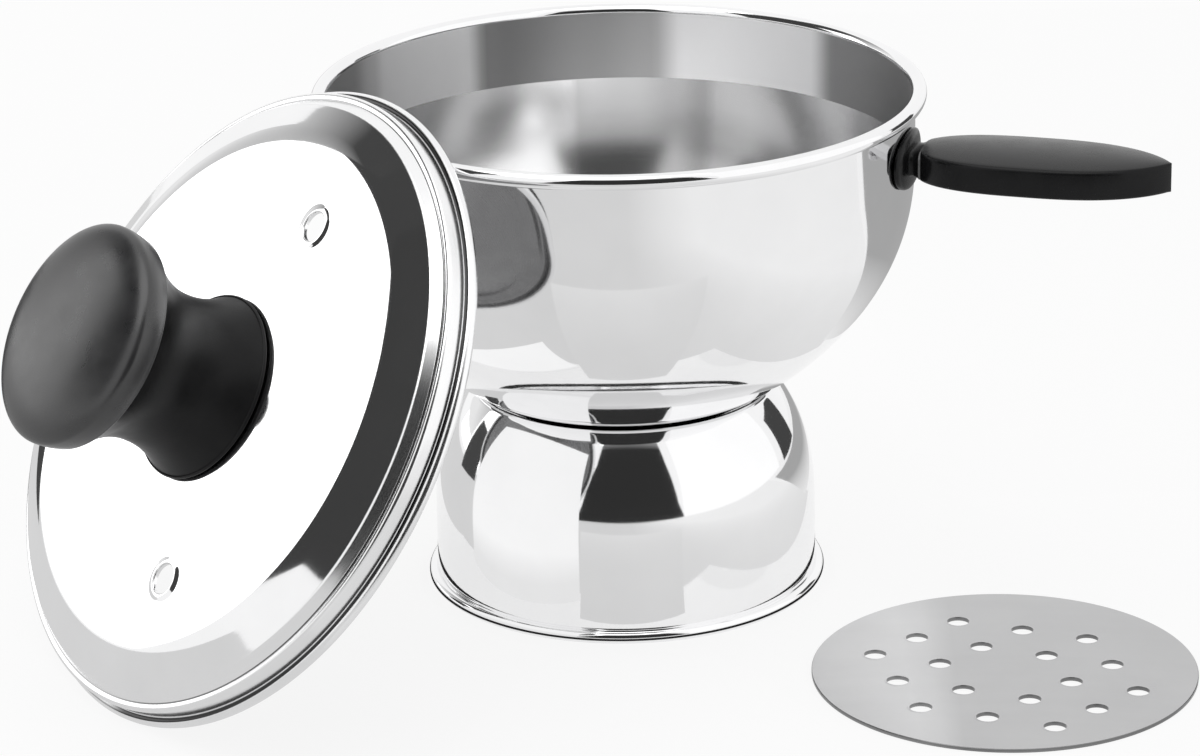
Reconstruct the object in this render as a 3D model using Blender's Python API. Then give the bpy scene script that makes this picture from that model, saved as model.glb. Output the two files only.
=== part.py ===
# Steamer for shaped rice-flour cakes: a bowl on an inverted cup, with a side handle.
# The cover leans on the bowl and the perforated plate lies beside it, as in a set laid out.
# Metres, +Z up. The bowl's axis is the construction axis until the set is centred.

import math

import bmesh
import bpy
import numpy as np
from mathutils import Matrix
from mathutils import Vector

# Bowl: sheet steel, straight at the top, with its edge rolled outwards.
BOWL_RIM_RADIUS = 0.0620
BOWL_DEPTH = 0.0670
BOWL_STRAIGHT = 0.0150
BOWL_WALL = 0.0008
BOWL_FLOOR_RADIUS = 0.0205
BOWL_CURVE_POWER = 2.24
BOWL_CURVE_FULLNESS = 0.81
BOWL_ROLL = 0.0031

# Base: an inverted cup that the bowl is riveted to, with its foot rolled outwards.
# Its top is dished to the bowl, and its height is that of the dish's flat floor.
BASE_HEIGHT = 0.0377
BASE_FOOT_RADIUS = 0.0411
BASE_WALL = 0.0008
BASE_STRAIGHT = 0.0117
BASE_SHOULDER_INSET = 0.0052
BASE_CURVE_POWER = 3.0
BASE_CREST_BEND = 0.0011
BASE_ROLL = 0.0026
FOOT_FLAT_WIDTH = 0.0012

# Hollow rivet through the floor of the bowl and the top of the base: the steam's way up.
FERRULE_BORE_RADIUS = 0.0040
FERRULE_WALL = 0.0011
FERRULE_FLANGE_WIDTH = 0.0032
FERRULE_FLANGE_THICKNESS = 0.0009
BACKING_WASHER_WIDTH = 0.0045
BACKING_WASHER_THICKNESS = 0.0008

# Cover: raised panel, slope, shoulder, groove and a short wall with a rolled edge.
COVER_SLIP = 0.0009
COVER_WALL = 0.0007
COVER_ROLL = 0.0025
COVER_WALL_HEIGHT = 0.0052
COVER_GROOVE_WIDTH = 0.0016
COVER_GROOVE_DEPTH = 0.0004
COVER_SHOULDER_WIDTH = 0.0016
COVER_SHOULDER_RISE = 0.0019
COVER_SLOPE_WIDTH = 0.0074
COVER_SLOPE_RISE = 0.0033
COVER_PANEL_CROWN = 0.0005
COVER_PANEL_FLAT_RADIUS = 0.0200
COVER_BEND_RADII = (0.0600, 0.0120, 0.0014, 0.0005, 0.0009)
COVER_VENT_RADIUS = 0.0030
COVER_VENT_CIRCLE_RADIUS = 0.0386
COVER_VENT_ANGLES = (math.radians(165.0), math.radians(21.5))

# Where the cover leans: the azimuth it leans out to, and how far its axis rises.
COVER_LEAN_AZIMUTH = math.radians(-146.3)
COVER_AXIS_RISE = math.radians(31.9)

# Knob on the cover, with its threaded insert, screw and washer.
KNOB_HEIGHT = 0.0362
KNOB_CAP_RADIUS = 0.0222
KNOB_CAP_EDGE = 0.0044
KNOB_DOME_HEIGHT = 0.0049
KNOB_WAIST_RADIUS = 0.0152
KNOB_WAIST_HEIGHT = 0.0125
KNOB_FLANGE_RADIUS = 0.0188
KNOB_FLANGE_EDGE = 0.0008
INSERT_RADIUS = 0.0042
INSERT_LENGTH = 0.0120
COVER_SCREW_RADIUS = 0.0020
COVER_SCREW_LENGTH = 0.0110
COVER_SCREW_HEAD_RADIUS = 0.0040
COVER_SCREW_HEAD_HEIGHT = 0.0022
COVER_WASHER_RADIUS = 0.0070
COVER_WASHER_THICKNESS = 0.0008

# Side handle: a steel stud on the bowl's wall, a heat guard and a flat leaf-shaped grip.
HANDLE_AZIMUTH = math.radians(-17.0)
HANDLE_BELOW_RIM = 0.0113
GUARD_HEIGHT = 0.0114
GUARD_SPREAD = 0.0190
GUARD_THICKNESS = 0.0010
GUARD_NECK_LENGTH = 0.0022
GUARD_NECK_WIDTH = 0.0096
GUARD_NECK_HEIGHT = 0.0052
STUD_PAD_WIDTH = 0.0068
STUD_PAD_HEIGHT = 0.0030
STUD_PAD_THICKNESS = 0.0008
STUD_TONGUE_WIDTH = 0.0050
STUD_TONGUE_THICKNESS = 0.0014
STUD_TONGUE_LENGTH = 0.0170
GRIP_LENGTH = 0.0491
GRIP_WIDTH = 0.0222
GRIP_EDGE_HEIGHT = 0.0058
GRIP_CROWN = 0.0010
GRIP_END_TRIM = 0.0016
GRIP_WIDEST_SHARE = 0.42
GRIP_START_POWERS = (2.6, 0.45)
GRIP_TIP_POWERS = (2.9, 0.80)
HANDLE_SCREW_RADIUS = 0.0015
HANDLE_SCREW_HEAD_RADIUS = 0.0027
HANDLE_SCREW_HEAD_HEIGHT = 0.0011
HANDLE_SCREW_SINK = 0.0002
HANDLE_SCREW_INSET = 0.0040

# Perforated steam plate, with staggered rows of holes and none at its centre.
PLATE_RADIUS = 0.0380
PLATE_THICKNESS = 0.0008
PLATE_HOLE_RADIUS = 0.0022
PLATE_HOLE_PITCH = 0.0119
PLATE_ROW_PITCH = 0.0121
PLATE_ROW_COUNTS = (3, 4, 5, 4, 3)
PLATE_ROW_DIRECTION = math.radians(42.0)
PLATE_PATTERN_OFFSET = (0.0, -0.0020)
PLATE_AZIMUTH = math.radians(-38.0)
PLATE_FROM_FOOT = 0.0149

# Clearances between pieces that touch, and around screws.
SEAT_GAP = 0.0003
SCREW_SLACK = 0.0003

# How finely the turned pieces are cut.
LARGE_STEPS = 48
KNOB_STEPS = 32
SMALL_STEPS = 20
ROLL_STEP = math.radians(40.0)
CURVE_POINTS = 11
DOME_POINTS = 9
CREST_HALVINGS = 30
BEND_PIECES = 3
BEND_SHARE = 0.45
SMALLEST_BEND = 0.0001
MERGE_DISTANCE = 0.00001
SHARP_ANGLE = math.radians(35.0)

# Heights and radii that follow from the sizes above.
BOWL_FLOOR_Z = BASE_HEIGHT + SEAT_GAP
BOWL_TOP_Z = BOWL_FLOOR_Z + BOWL_DEPTH
BOWL_INNER_RADIUS = BOWL_RIM_RADIUS - BOWL_ROLL
BOWL_OUTER_RADIUS = BOWL_INNER_RADIUS + BOWL_WALL
BASE_INNER_RADIUS = BASE_FOOT_RADIUS - BASE_ROLL
BASE_OUTER_RADIUS = BASE_INNER_RADIUS + BASE_WALL
FERRULE_OUTER_RADIUS = FERRULE_BORE_RADIUS + FERRULE_WALL
FERRULE_HOLE_RADIUS = FERRULE_OUTER_RADIUS + SEAT_GAP
FERRULE_FLANGE_RADIUS = FERRULE_OUTER_RADIUS + FERRULE_FLANGE_WIDTH
COVER_INNER_RADIUS = BOWL_RIM_RADIUS + COVER_SLIP
COVER_OUTER_RADIUS = COVER_INNER_RADIUS + COVER_WALL
COVER_SCREW_HOLE_RADIUS = COVER_SCREW_RADIUS + SCREW_SLACK
HANDLE_Z = BOWL_TOP_Z - HANDLE_BELOW_RIM
STUD_RADIUS = BOWL_OUTER_RADIUS + SEAT_GAP
GUARD_RADIUS = BOWL_OUTER_RADIUS + SEAT_GAP
GUARD_FACE_RADIUS = GUARD_RADIUS + GUARD_THICKNESS
NECK_END_RADIUS = GUARD_FACE_RADIUS + GUARD_NECK_LENGTH
GRIP_START_RADIUS = NECK_END_RADIUS + SEAT_GAP
TONGUE_END_RADIUS = NECK_END_RADIUS + STUD_TONGUE_LENGTH
HANDLE_SCREW_POSITION = TONGUE_END_RADIUS - HANDLE_SCREW_INSET


def clear_scene():
    for old in list(bpy.data.objects):
        bpy.data.objects.remove(old, do_unlink=True)


def make_material(name, color, metallic, roughness):
    material = bpy.data.materials.new(name)
    material.use_nodes = True
    shader = material.node_tree.nodes["Principled BSDF"]
    shader.inputs["Base Color"].default_value = (*color, 1.0)
    shader.inputs["Metallic"].default_value = metallic
    shader.inputs["Roughness"].default_value = roughness
    return material


def steel(name, roughness=0.12):
    return make_material(name, (0.80, 0.80, 0.81), 1.0, roughness)


def phenolic(name):
    return make_material(name, (0.020, 0.020, 0.021), 0.0, 0.32)


def brass(name):
    return make_material(name, (0.78, 0.60, 0.30), 1.0, 0.25)


def add_object(name, mesh, material, parent):
    piece = bpy.data.objects.new(name, mesh)
    bpy.context.scene.collection.objects.link(piece)
    piece.parent = parent
    if material:
        mesh.materials.append(material)
    return piece


def add_empty(name, parent=None):
    empty = bpy.data.objects.new(name, None)
    empty.empty_display_size = 0.02
    empty.parent = parent
    bpy.context.scene.collection.objects.link(empty)
    return empty


def arc(center, radius, start, end):
    # Points of an arc in the profile plane, both ends included.
    count = max(2, math.ceil(abs(end - start) / ROLL_STEP))
    angles = np.linspace(start, end, count + 1)
    return [(center[0] + radius * math.cos(a), center[1] + radius * math.sin(a)) for a in angles]


def power_curve(center, reach, rise, power):
    # Quarter of a superellipse, from its vertical side at (center + reach) to its level end.
    # x = reach * cos(t)^(2/power), z = rise * sin(t)^(2/power)
    angles = np.linspace(0.0, math.pi / 2.0, CURVE_POINTS)
    across = reach * np.cos(angles).clip(0.0, 1.0) ** (2.0 / power)
    up = rise * np.sin(angles) ** (2.0 / power)
    return [(center[0] + x, center[1] + z) for x, z in zip(across, up)]


def rounded(corners, radii):
    # Path through the corners, each inner one replaced by an arc of its radius.
    # An arc takes up at most BEND_SHARE of the shorter side beside it.
    path = [corners[0]]
    for before, corner, after, radius in zip(corners, corners[1:], corners[2:], radii):
        here = Vector(corner)
        to_before = Vector(before) - here
        to_after = Vector(after) - here
        half = to_before.angle(to_after) / 2.0
        room = BEND_SHARE * min(to_before.length, to_after.length)
        reach = min(radius / math.tan(half), room)
        to_before.normalize()
        to_after.normalize()
        center = here + (to_before + to_after).normalized() * (reach / math.cos(half))
        first = here + to_before * reach - center
        last = here + to_after * reach - center
        sweep = first.angle_signed(last)
        for share in np.linspace(0.0, 1.0, BEND_PIECES + 1):
            turned = Matrix.Rotation(-sweep * share, 2) @ first
            path.append(tuple(center + turned))
    path.append(corners[-1])
    return path


def offset_path(path, distance):
    # The path moved sideways, towards the right of its direction, by a sheet's thickness.
    points = np.array(path)
    runs = np.diff(points, axis=0)
    runs /= np.linalg.norm(runs, axis=1)[:, None]
    sides = np.stack([runs[:, 1], -runs[:, 0]], axis=1)
    first = np.vstack([sides[:1], sides])
    second = np.vstack([sides, sides[-1:]])
    mean = first + second
    mean /= (mean * first).sum(axis=1)[:, None]
    return [tuple(p) for p in points + mean * distance]


def bent_sheet(corners, radii, thickness):
    # Both faces of a sheet bent at the corners; the second face lies to the path's right.
    inner_radii = []
    for before, corner, after, radius in zip(corners, corners[1:], corners[2:], radii):
        run = Vector(corner) - Vector(before)
        turn = run.x * (after[1] - corner[1]) - run.y * (after[0] - corner[0])
        inner_radii.append(max(radius + math.copysign(thickness, turn), SMALLEST_BEND))
    return rounded(corners, radii), rounded(offset_path(corners, thickness), inner_radii)


def finish_mesh(name, shape):
    # A closed mesh facing out, smooth except where two faces meet at an angle.
    bmesh.ops.recalc_face_normals(shape, faces=shape.faces)
    mesh = bpy.data.meshes.new(name)
    shape.to_mesh(mesh)
    shape.free()
    mesh.shade_smooth()
    mesh.set_sharp_from_angle(angle=SHARP_ANGLE)
    return mesh


def turned(name, profile, steps, material, parent, closed=True):
    # The profile, drawn in the XZ plane, spun once about Z.
    shape = bmesh.new()
    corners = [shape.verts.new((x, 0.0, z)) for x, z in profile]
    lines = [shape.edges.new(pair) for pair in zip(corners, corners[1:])]
    if closed:
        lines.append(shape.edges.new((corners[-1], corners[0])))
    bmesh.ops.spin(shape, geom=corners + lines, cent=(0, 0, 0), axis=(0, 0, 1),
                   angle=2.0 * math.pi, steps=steps, use_duplicate=False)
    bmesh.ops.remove_doubles(shape, verts=shape.verts, dist=MERGE_DISTANCE)
    return add_object(name, finish_mesh(name, shape), material, parent)


def cut(piece, cutter, operation="DIFFERENCE"):
    boolean = piece.modifiers.new("Cut", "BOOLEAN")
    boolean.operation = operation
    boolean.solver = "EXACT"
    boolean.object = cutter
    cutter.hide_render = True
    cutter.display_type = "WIRE"


def guide(name, mesh, parent):
    helper = add_object(name, mesh, None, parent)
    helper.hide_render = True
    helper.display_type = "WIRE"
    return helper


def box_mesh(name, size, center):
    shape = bmesh.new()
    placed = Matrix.Translation(center) @ Matrix.Diagonal((*size, 1.0))
    bmesh.ops.create_cube(shape, size=1.0, matrix=placed)
    return finish_mesh(name, shape)


def pins_mesh(name, radius, length, centers, steps):
    # Upright pins of one radius and length, centred on the given points.
    shape = bmesh.new()
    for center in centers:
        bmesh.ops.create_cone(shape, cap_ends=True, segments=steps, radius1=radius, radius2=radius,
                              depth=length, matrix=Matrix.Translation(center))
    return finish_mesh(name, shape)


def wall_slab_mesh(name, inner, outer, width, height):
    # A slab that follows the bowl's wall: a rectangle spun through the angle its width spans.
    half_angle = width / (2.0 * inner)
    shape = bmesh.new()
    corners = ((inner, -height), (outer, -height), (outer, height), (inner, height))
    turn = Matrix.Rotation(-half_angle, 3, "Z")
    ring = [shape.verts.new(turn @ Vector((x, 0.0, z / 2.0))) for x, z in corners]
    start = shape.faces.new(ring)
    bmesh.ops.spin(shape, geom=[start], cent=(0, 0, 0), axis=(0, 0, 1),
                   angle=2.0 * half_angle, steps=8, use_duplicate=False)
    return finish_mesh(name, shape)


def bowl_outside():
    # r = floor + (wall - floor) * (1 - s^power)^fullness, with s the share of the drop
    straight_z = BOWL_TOP_Z - BOWL_STRAIGHT
    outside = []
    for angle in np.linspace(0.0, math.pi / 2.0, CURVE_POINTS + 3):
        share = math.sin(angle)
        full = max(1.0 - share ** BOWL_CURVE_POWER, 0.0) ** BOWL_CURVE_FULLNESS
        radius = BOWL_FLOOR_RADIUS + (BOWL_OUTER_RADIUS - BOWL_FLOOR_RADIUS) * full
        outside.append((radius, straight_z + (BOWL_FLOOR_Z - straight_z) * share))
    outside.append((FERRULE_HOLE_RADIUS, BOWL_FLOOR_Z))
    return outside


def bowl_profile():
    roll = BOWL_ROLL / 2.0
    center = (BOWL_RIM_RADIUS - roll, BOWL_TOP_Z - roll)
    meet = math.acos((BOWL_OUTER_RADIUS - center[0]) / roll)
    edge = arc(center, roll, math.pi, -meet)
    outside = bowl_outside()
    inside = offset_path(outside, BOWL_WALL)
    return edge + outside + inside[::-1]


def dome_radius(z):
    # r = wall - inset * s^power, with s the share of the rise to the dish's floor
    share = max(z - BASE_STRAIGHT, 0.0) / (BASE_HEIGHT - BASE_STRAIGHT)
    return BASE_OUTER_RADIUS - BASE_SHOULDER_INSET * share ** BASE_CURVE_POWER


def dished_top():
    # The dish, from the hole outwards a gap below the bowl, and the crest where it meets the dome.
    bowl = offset_path(bowl_outside(), -SEAT_GAP)[::-1]
    dish = [bowl[0]]
    for point in bowl[1:]:
        if point[0] > dome_radius(point[1]):
            break
        dish.append(point)
    low = Vector(dish[-1])
    high = Vector(point)
    for _ in range(CREST_HALVINGS):
        middle = (low + high) / 2.0
        if middle.x > dome_radius(middle.y):
            high = middle
        else:
            low = middle
    return dish, tuple(low)


def base_profile():
    roll = BASE_ROLL / 2.0
    lift = math.sqrt(roll ** 2 - (FOOT_FLAT_WIDTH / 2.0) ** 2)
    center = (BASE_FOOT_RADIUS - roll, lift)
    meet = math.acos((BASE_OUTER_RADIUS - center[0]) / roll)
    flat = math.asin(FOOT_FLAT_WIDTH / 2.0 / roll)
    foot = arc(center, roll, meet, -math.pi / 2.0 + flat)
    foot += arc(center, roll, -math.pi / 2.0 - flat, -math.pi)
    dish, crest = dished_top()
    dome = [(dome_radius(z), z) for z in np.linspace(crest[1], BASE_STRAIGHT, DOME_POINTS + 1)[1:]]
    top = dish + [crest] + dome
    at = len(dish)
    faces = []
    for path, bend in ((top, BASE_CREST_BEND), (offset_path(top, BASE_WALL), BASE_CREST_BEND - BASE_WALL)):
        faces.append(path[:at - 1] + rounded(path[at - 1:at + 2], [bend]) + path[at + 2:])
    outside, inside = faces
    return outside + foot + inside[::-1]


def cover_profile():
    # Heights count from the middle of the rolled edge's lower side.
    roll = COVER_ROLL / 2.0
    center = (COVER_INNER_RADIUS + roll, roll)
    meet = math.acos((COVER_OUTER_RADIUS - center[0]) / roll)
    edge = arc(center, roll, meet, -math.pi)
    wall_top = (COVER_OUTER_RADIUS, roll + COVER_WALL_HEIGHT)
    groove = (wall_top[0] - COVER_GROOVE_WIDTH, wall_top[1] - COVER_GROOVE_DEPTH)
    shoulder = (groove[0] - COVER_SHOULDER_WIDTH, groove[1] + COVER_SHOULDER_RISE)
    panel = (shoulder[0] - COVER_SLOPE_WIDTH, shoulder[1] + COVER_SLOPE_RISE)
    flat = (COVER_PANEL_FLAT_RADIUS, panel[1] + COVER_PANEL_CROWN)
    hole = (COVER_SCREW_HOLE_RADIUS, flat[1])
    corners = [hole, flat, panel, shoulder, groove, wall_top, (COVER_OUTER_RADIUS, edge[0][1])]
    outside, inside = bent_sheet(corners, COVER_BEND_RADII, COVER_WALL)
    return outside + edge[1:] + inside[::-1]


def make_bowl(parent):
    return turned("bowl", bowl_profile(), LARGE_STEPS, steel("bowl_steel"), parent)


def make_base(parent):
    return turned("base_skirt", base_profile(), LARGE_STEPS, steel("base_steel"), parent)


def make_ferrule(parent):
    floor_top = BOWL_FLOOR_Z + BOWL_WALL + SEAT_GAP
    washer_foot = BASE_HEIGHT - BASE_WALL - 2.0 * SEAT_GAP - BACKING_WASHER_THICKNESS
    top = floor_top + FERRULE_FLANGE_THICKNESS
    bottom = washer_foot - FERRULE_FLANGE_THICKNESS
    profile = [(FERRULE_BORE_RADIUS, top), (FERRULE_FLANGE_RADIUS, top),
               (FERRULE_FLANGE_RADIUS, floor_top), (FERRULE_OUTER_RADIUS, floor_top),
               (FERRULE_OUTER_RADIUS, washer_foot), (FERRULE_FLANGE_RADIUS, washer_foot),
               (FERRULE_FLANGE_RADIUS, bottom), (FERRULE_BORE_RADIUS, bottom)]
    return turned("steam_ferrule", profile, SMALL_STEPS, steel("ferrule_steel", 0.25), parent)


def make_backing_washer(parent):
    top = BASE_HEIGHT - BASE_WALL - SEAT_GAP
    bottom = top - BACKING_WASHER_THICKNESS
    outer = FERRULE_HOLE_RADIUS + BACKING_WASHER_WIDTH
    profile = [(FERRULE_HOLE_RADIUS, top), (outer, top), (outer, bottom), (FERRULE_HOLE_RADIUS, bottom)]
    return turned("ferrule_washer", profile, SMALL_STEPS, steel("washer_steel", 0.3), parent)


def cover_panel_top():
    return max(z for _, z in cover_profile())


def make_cover(parent):
    piece = turned("lid_pan", cover_profile(), LARGE_STEPS, steel("lid_steel"), parent)
    middle = cover_panel_top() - COVER_WALL / 2.0
    centers = []
    for angle in COVER_VENT_ANGLES:
        radius = COVER_VENT_CIRCLE_RADIUS
        centers.append((radius * math.cos(angle), radius * math.sin(angle), middle))
    vents = pins_mesh("vent_cutter", COVER_VENT_RADIUS, 8.0 * COVER_WALL, centers, 16)
    cut(piece, guide("vent_cutter", vents, parent))
    return piece


def flare(start, end, radius_start, radius_end, points=6):
    # Concave flare of the knob: r = start + (end - start) * share^2, along the height.
    shares = np.linspace(0.0, 1.0, points)
    return [(radius_start + (radius_end - radius_start) * s * s, start + (end - start) * s)
            for s in shares]


def knob_profile():
    seat = cover_panel_top() + SEAT_GAP
    top = seat + KNOB_HEIGHT
    edge_top = top - KNOB_DOME_HEIGHT
    edge_bottom = edge_top - KNOB_CAP_EDGE
    waist = seat + KNOB_WAIST_HEIGHT
    bore = INSERT_RADIUS + SEAT_GAP
    dome = power_curve((0.0, edge_top), KNOB_CAP_RADIUS, KNOB_DOME_HEIGHT, 2.0)[::-1]
    upper = flare(waist, edge_bottom, KNOB_WAIST_RADIUS, KNOB_CAP_RADIUS - 0.0005)[::-1]
    lower = flare(waist, seat + KNOB_FLANGE_EDGE, KNOB_WAIST_RADIUS, KNOB_FLANGE_RADIUS)
    bore_top = seat + INSERT_LENGTH + SEAT_GAP
    end = [(KNOB_FLANGE_RADIUS, seat), (bore, seat), (bore, bore_top), (0.0, bore_top)]
    return dome + upper + lower[1:] + end


def make_knob(parent):
    return turned("knob", knob_profile(), KNOB_STEPS, phenolic("knob_phenolic"), parent, closed=False)


def make_knob_insert(parent):
    bottom = cover_panel_top() + SEAT_GAP
    top = bottom + INSERT_LENGTH
    bore = COVER_SCREW_RADIUS + SCREW_SLACK
    profile = [(bore, top), (INSERT_RADIUS, top), (INSERT_RADIUS, bottom), (bore, bottom)]
    return turned("knob_insert", profile, SMALL_STEPS, brass("insert_brass"), parent)


def make_knob_washer(parent):
    top = cover_panel_top() - COVER_WALL - SEAT_GAP
    bottom = top - COVER_WASHER_THICKNESS
    profile = [(COVER_SCREW_HOLE_RADIUS, top), (COVER_WASHER_RADIUS, top),
               (COVER_WASHER_RADIUS, bottom), (COVER_SCREW_HOLE_RADIUS, bottom)]
    return turned("knob_washer", profile, SMALL_STEPS, steel("knob_washer_steel", 0.3), parent)


def make_knob_screw(parent):
    seat = cover_panel_top() - COVER_WALL - COVER_WASHER_THICKNESS - 2.0 * SEAT_GAP
    bottom = seat - COVER_SCREW_HEAD_HEIGHT
    dome = power_curve((0.0, seat - 0.0006), COVER_SCREW_HEAD_RADIUS, bottom - seat + 0.0006, 2.4)
    profile = [(0.0, seat + COVER_SCREW_LENGTH), (COVER_SCREW_RADIUS, seat + COVER_SCREW_LENGTH),
               (COVER_SCREW_RADIUS, seat), (COVER_SCREW_HEAD_RADIUS, seat)] + dome
    return turned("knob_screw", profile, SMALL_STEPS, steel("knob_screw_steel", 0.2), parent, closed=False)


def make_stud(parent):
    outer = STUD_RADIUS + STUD_PAD_THICKNESS
    pad = wall_slab_mesh("handle_stud", STUD_RADIUS, outer, STUD_PAD_WIDTH, STUD_PAD_HEIGHT)
    piece = add_object("handle_stud", pad, steel("stud_steel", 0.3), parent)
    root = STUD_RADIUS + STUD_PAD_THICKNESS / 2.0
    size = (TONGUE_END_RADIUS - root, STUD_TONGUE_WIDTH, STUD_TONGUE_THICKNESS)
    middle = ((TONGUE_END_RADIUS + root) / 2.0, 0.0, 0.0)
    cut(piece, guide("tongue_guide", box_mesh("tongue_guide", size, middle), parent), "UNION")
    hole = pins_mesh("tongue_hole", HANDLE_SCREW_RADIUS + SCREW_SLACK, 4.0 * STUD_TONGUE_THICKNESS,
                     [(HANDLE_SCREW_POSITION, 0.0, 0.0)], 12)
    cut(piece, guide("tongue_hole", hole, parent))
    return piece


def guard_outline_mesh():
    # Rounded outline of the heat guard, drawn in the YZ plane and pushed out along X.
    # y = a * cos(t)^0.9, z = b * sin(t)^0.9, a little fuller than an ellipse
    shape = bmesh.new()
    ring = []
    power = 0.9
    for angle in np.linspace(0.0, 2.0 * math.pi, 25)[:-1]:
        across = math.copysign(abs(math.cos(angle)) ** power, math.cos(angle))
        up = math.copysign(abs(math.sin(angle)) ** power, math.sin(angle))
        ring.append(shape.verts.new((GUARD_RADIUS * 0.8, across * GUARD_SPREAD / 2.0,
                                     up * GUARD_HEIGHT / 2.0)))
    face = shape.faces.new(ring)
    pushed = bmesh.ops.extrude_face_region(shape, geom=[face])
    moved = [v for v in pushed["geom"] if isinstance(v, bmesh.types.BMVert)]
    bmesh.ops.translate(shape, verts=moved, vec=(GUARD_RADIUS * 0.4, 0.0, 0.0))
    return finish_mesh("guard_outline", shape)


def make_guard(parent):
    slab = wall_slab_mesh("handle_guard", GUARD_RADIUS, GUARD_FACE_RADIUS,
                          GUARD_SPREAD * 1.2, GUARD_HEIGHT * 1.2)
    piece = add_object("handle_guard", slab, phenolic("guard_phenolic"), parent)
    cut(piece, guide("guard_outline", guard_outline_mesh(), parent), "INTERSECT")
    root = GUARD_RADIUS + GUARD_THICKNESS / 2.0
    size = (NECK_END_RADIUS - root, GUARD_NECK_WIDTH, GUARD_NECK_HEIGHT)
    neck = box_mesh("neck_guide", size, ((NECK_END_RADIUS + root) / 2.0, 0.0, 0.0))
    cut(piece, guide("neck_guide", neck, parent), "UNION")
    pocket = wall_slab_mesh("pad_pocket", GUARD_RADIUS - SEAT_GAP,
                            STUD_RADIUS + STUD_PAD_THICKNESS + SEAT_GAP,
                            STUD_PAD_WIDTH + 2.0 * SEAT_GAP, STUD_PAD_HEIGHT + 2.0 * SEAT_GAP)
    cut(piece, guide("pad_pocket", pocket, parent))
    slot_size = (0.4 * GUARD_RADIUS, STUD_TONGUE_WIDTH + 2.0 * SEAT_GAP,
                 STUD_TONGUE_THICKNESS + 2.0 * SEAT_GAP)
    slot = box_mesh("tongue_slot", slot_size, (GUARD_RADIUS, 0.0, 0.0))
    cut(piece, guide("tongue_slot", slot, parent))
    return piece


def grip_half_width(position):
    # Leaf outline: w = width / 2 * (1 - x^p)^q, with x counted from the widest place to an end.
    widest = GRIP_START_RADIUS + GRIP_LENGTH * GRIP_WIDEST_SHARE
    if position < widest:
        power, fullness = GRIP_START_POWERS
        share = (widest - position) / (widest - GRIP_START_RADIUS + GRIP_END_TRIM)
    else:
        power, fullness = GRIP_TIP_POWERS
        share = (position - widest) / (GRIP_START_RADIUS + GRIP_LENGTH - widest)
    return GRIP_WIDTH / 2.0 * max(1.0 - share ** power, 0.0) ** fullness


def grip_mesh():
    # Cross-sections along the grip, closed at the start and drawn to a blunt edge at the tip.
    angles = np.linspace(0.0, math.pi / 2.0, 9)
    first = GRIP_START_RADIUS
    widest = first + GRIP_LENGTH * GRIP_WIDEST_SHARE
    last = first + GRIP_LENGTH
    stations = [widest - (widest - first) * math.cos(a) for a in angles]
    stations += [widest + (last - widest) * math.sin(a) for a in angles[1:-1]]
    stations.append(widest + (last - widest) * 0.9985)
    shape = bmesh.new()
    rings = []
    low = -GRIP_EDGE_HEIGHT / 2.0
    high = GRIP_EDGE_HEIGHT / 2.0
    for position in stations:
        half = grip_half_width(position)
        crown = GRIP_CROWN * half / (GRIP_WIDTH / 2.0)
        section = [(-half, low), (half, low), (half, high)]
        section += [(half * x, high + crown * (1.0 - x * x)) for x in (0.6, 0.0, -0.6)]
        section.append((-half, high))
        rings.append([shape.verts.new((position, y, z)) for y, z in section])
    for ring, following in zip(rings, rings[1:]):
        count = len(ring)
        for i in range(count):
            j = (i + 1) % count
            shape.faces.new((ring[i], ring[j], following[j], following[i]))
    shape.faces.new(rings[0])
    shape.faces.new(rings[-1])
    return finish_mesh("handle_grip", shape)


def grip_underside():
    return -GRIP_EDGE_HEIGHT / 2.0


def make_grip(parent):
    piece = add_object("handle_grip", grip_mesh(), phenolic("grip_phenolic"), parent)
    end = TONGUE_END_RADIUS + SEAT_GAP
    start = GRIP_START_RADIUS - STUD_TONGUE_THICKNESS
    slot_size = (end - start, STUD_TONGUE_WIDTH + 2.0 * SEAT_GAP,
                 STUD_TONGUE_THICKNESS + 2.0 * SEAT_GAP)
    slot = box_mesh("grip_slot", slot_size, ((start + end) / 2.0, 0.0, 0.0))
    cut(piece, guide("grip_slot", slot, parent))
    low = grip_underside()
    shank = pins_mesh("shank_hole", HANDLE_SCREW_RADIUS + SCREW_SLACK, -2.0 * low,
                      [(HANDLE_SCREW_POSITION, 0.0, low)], 12)
    cut(piece, guide("shank_hole", shank, parent))
    sink = HANDLE_SCREW_HEAD_HEIGHT + HANDLE_SCREW_SINK + SEAT_GAP
    head = pins_mesh("head_hole", HANDLE_SCREW_HEAD_RADIUS + SCREW_SLACK, 2.0 * sink,
                     [(HANDLE_SCREW_POSITION, 0.0, low)], 16)
    cut(piece, guide("head_hole", head, parent))
    return piece


def make_handle_screw(parent):
    bottom = grip_underside() + HANDLE_SCREW_SINK
    seat = bottom + HANDLE_SCREW_HEAD_HEIGHT
    top = STUD_TONGUE_THICKNESS / 2.0
    profile = [(0.0, top), (HANDLE_SCREW_RADIUS, top), (HANDLE_SCREW_RADIUS, seat),
               (HANDLE_SCREW_HEAD_RADIUS, seat), (HANDLE_SCREW_HEAD_RADIUS, bottom), (0.0, bottom)]
    piece = turned("handle_screw", profile, SMALL_STEPS, steel("handle_screw_steel", 0.2), parent,
                   closed=False)
    piece.location = (HANDLE_SCREW_POSITION, 0.0, 0.0)
    return piece


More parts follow.
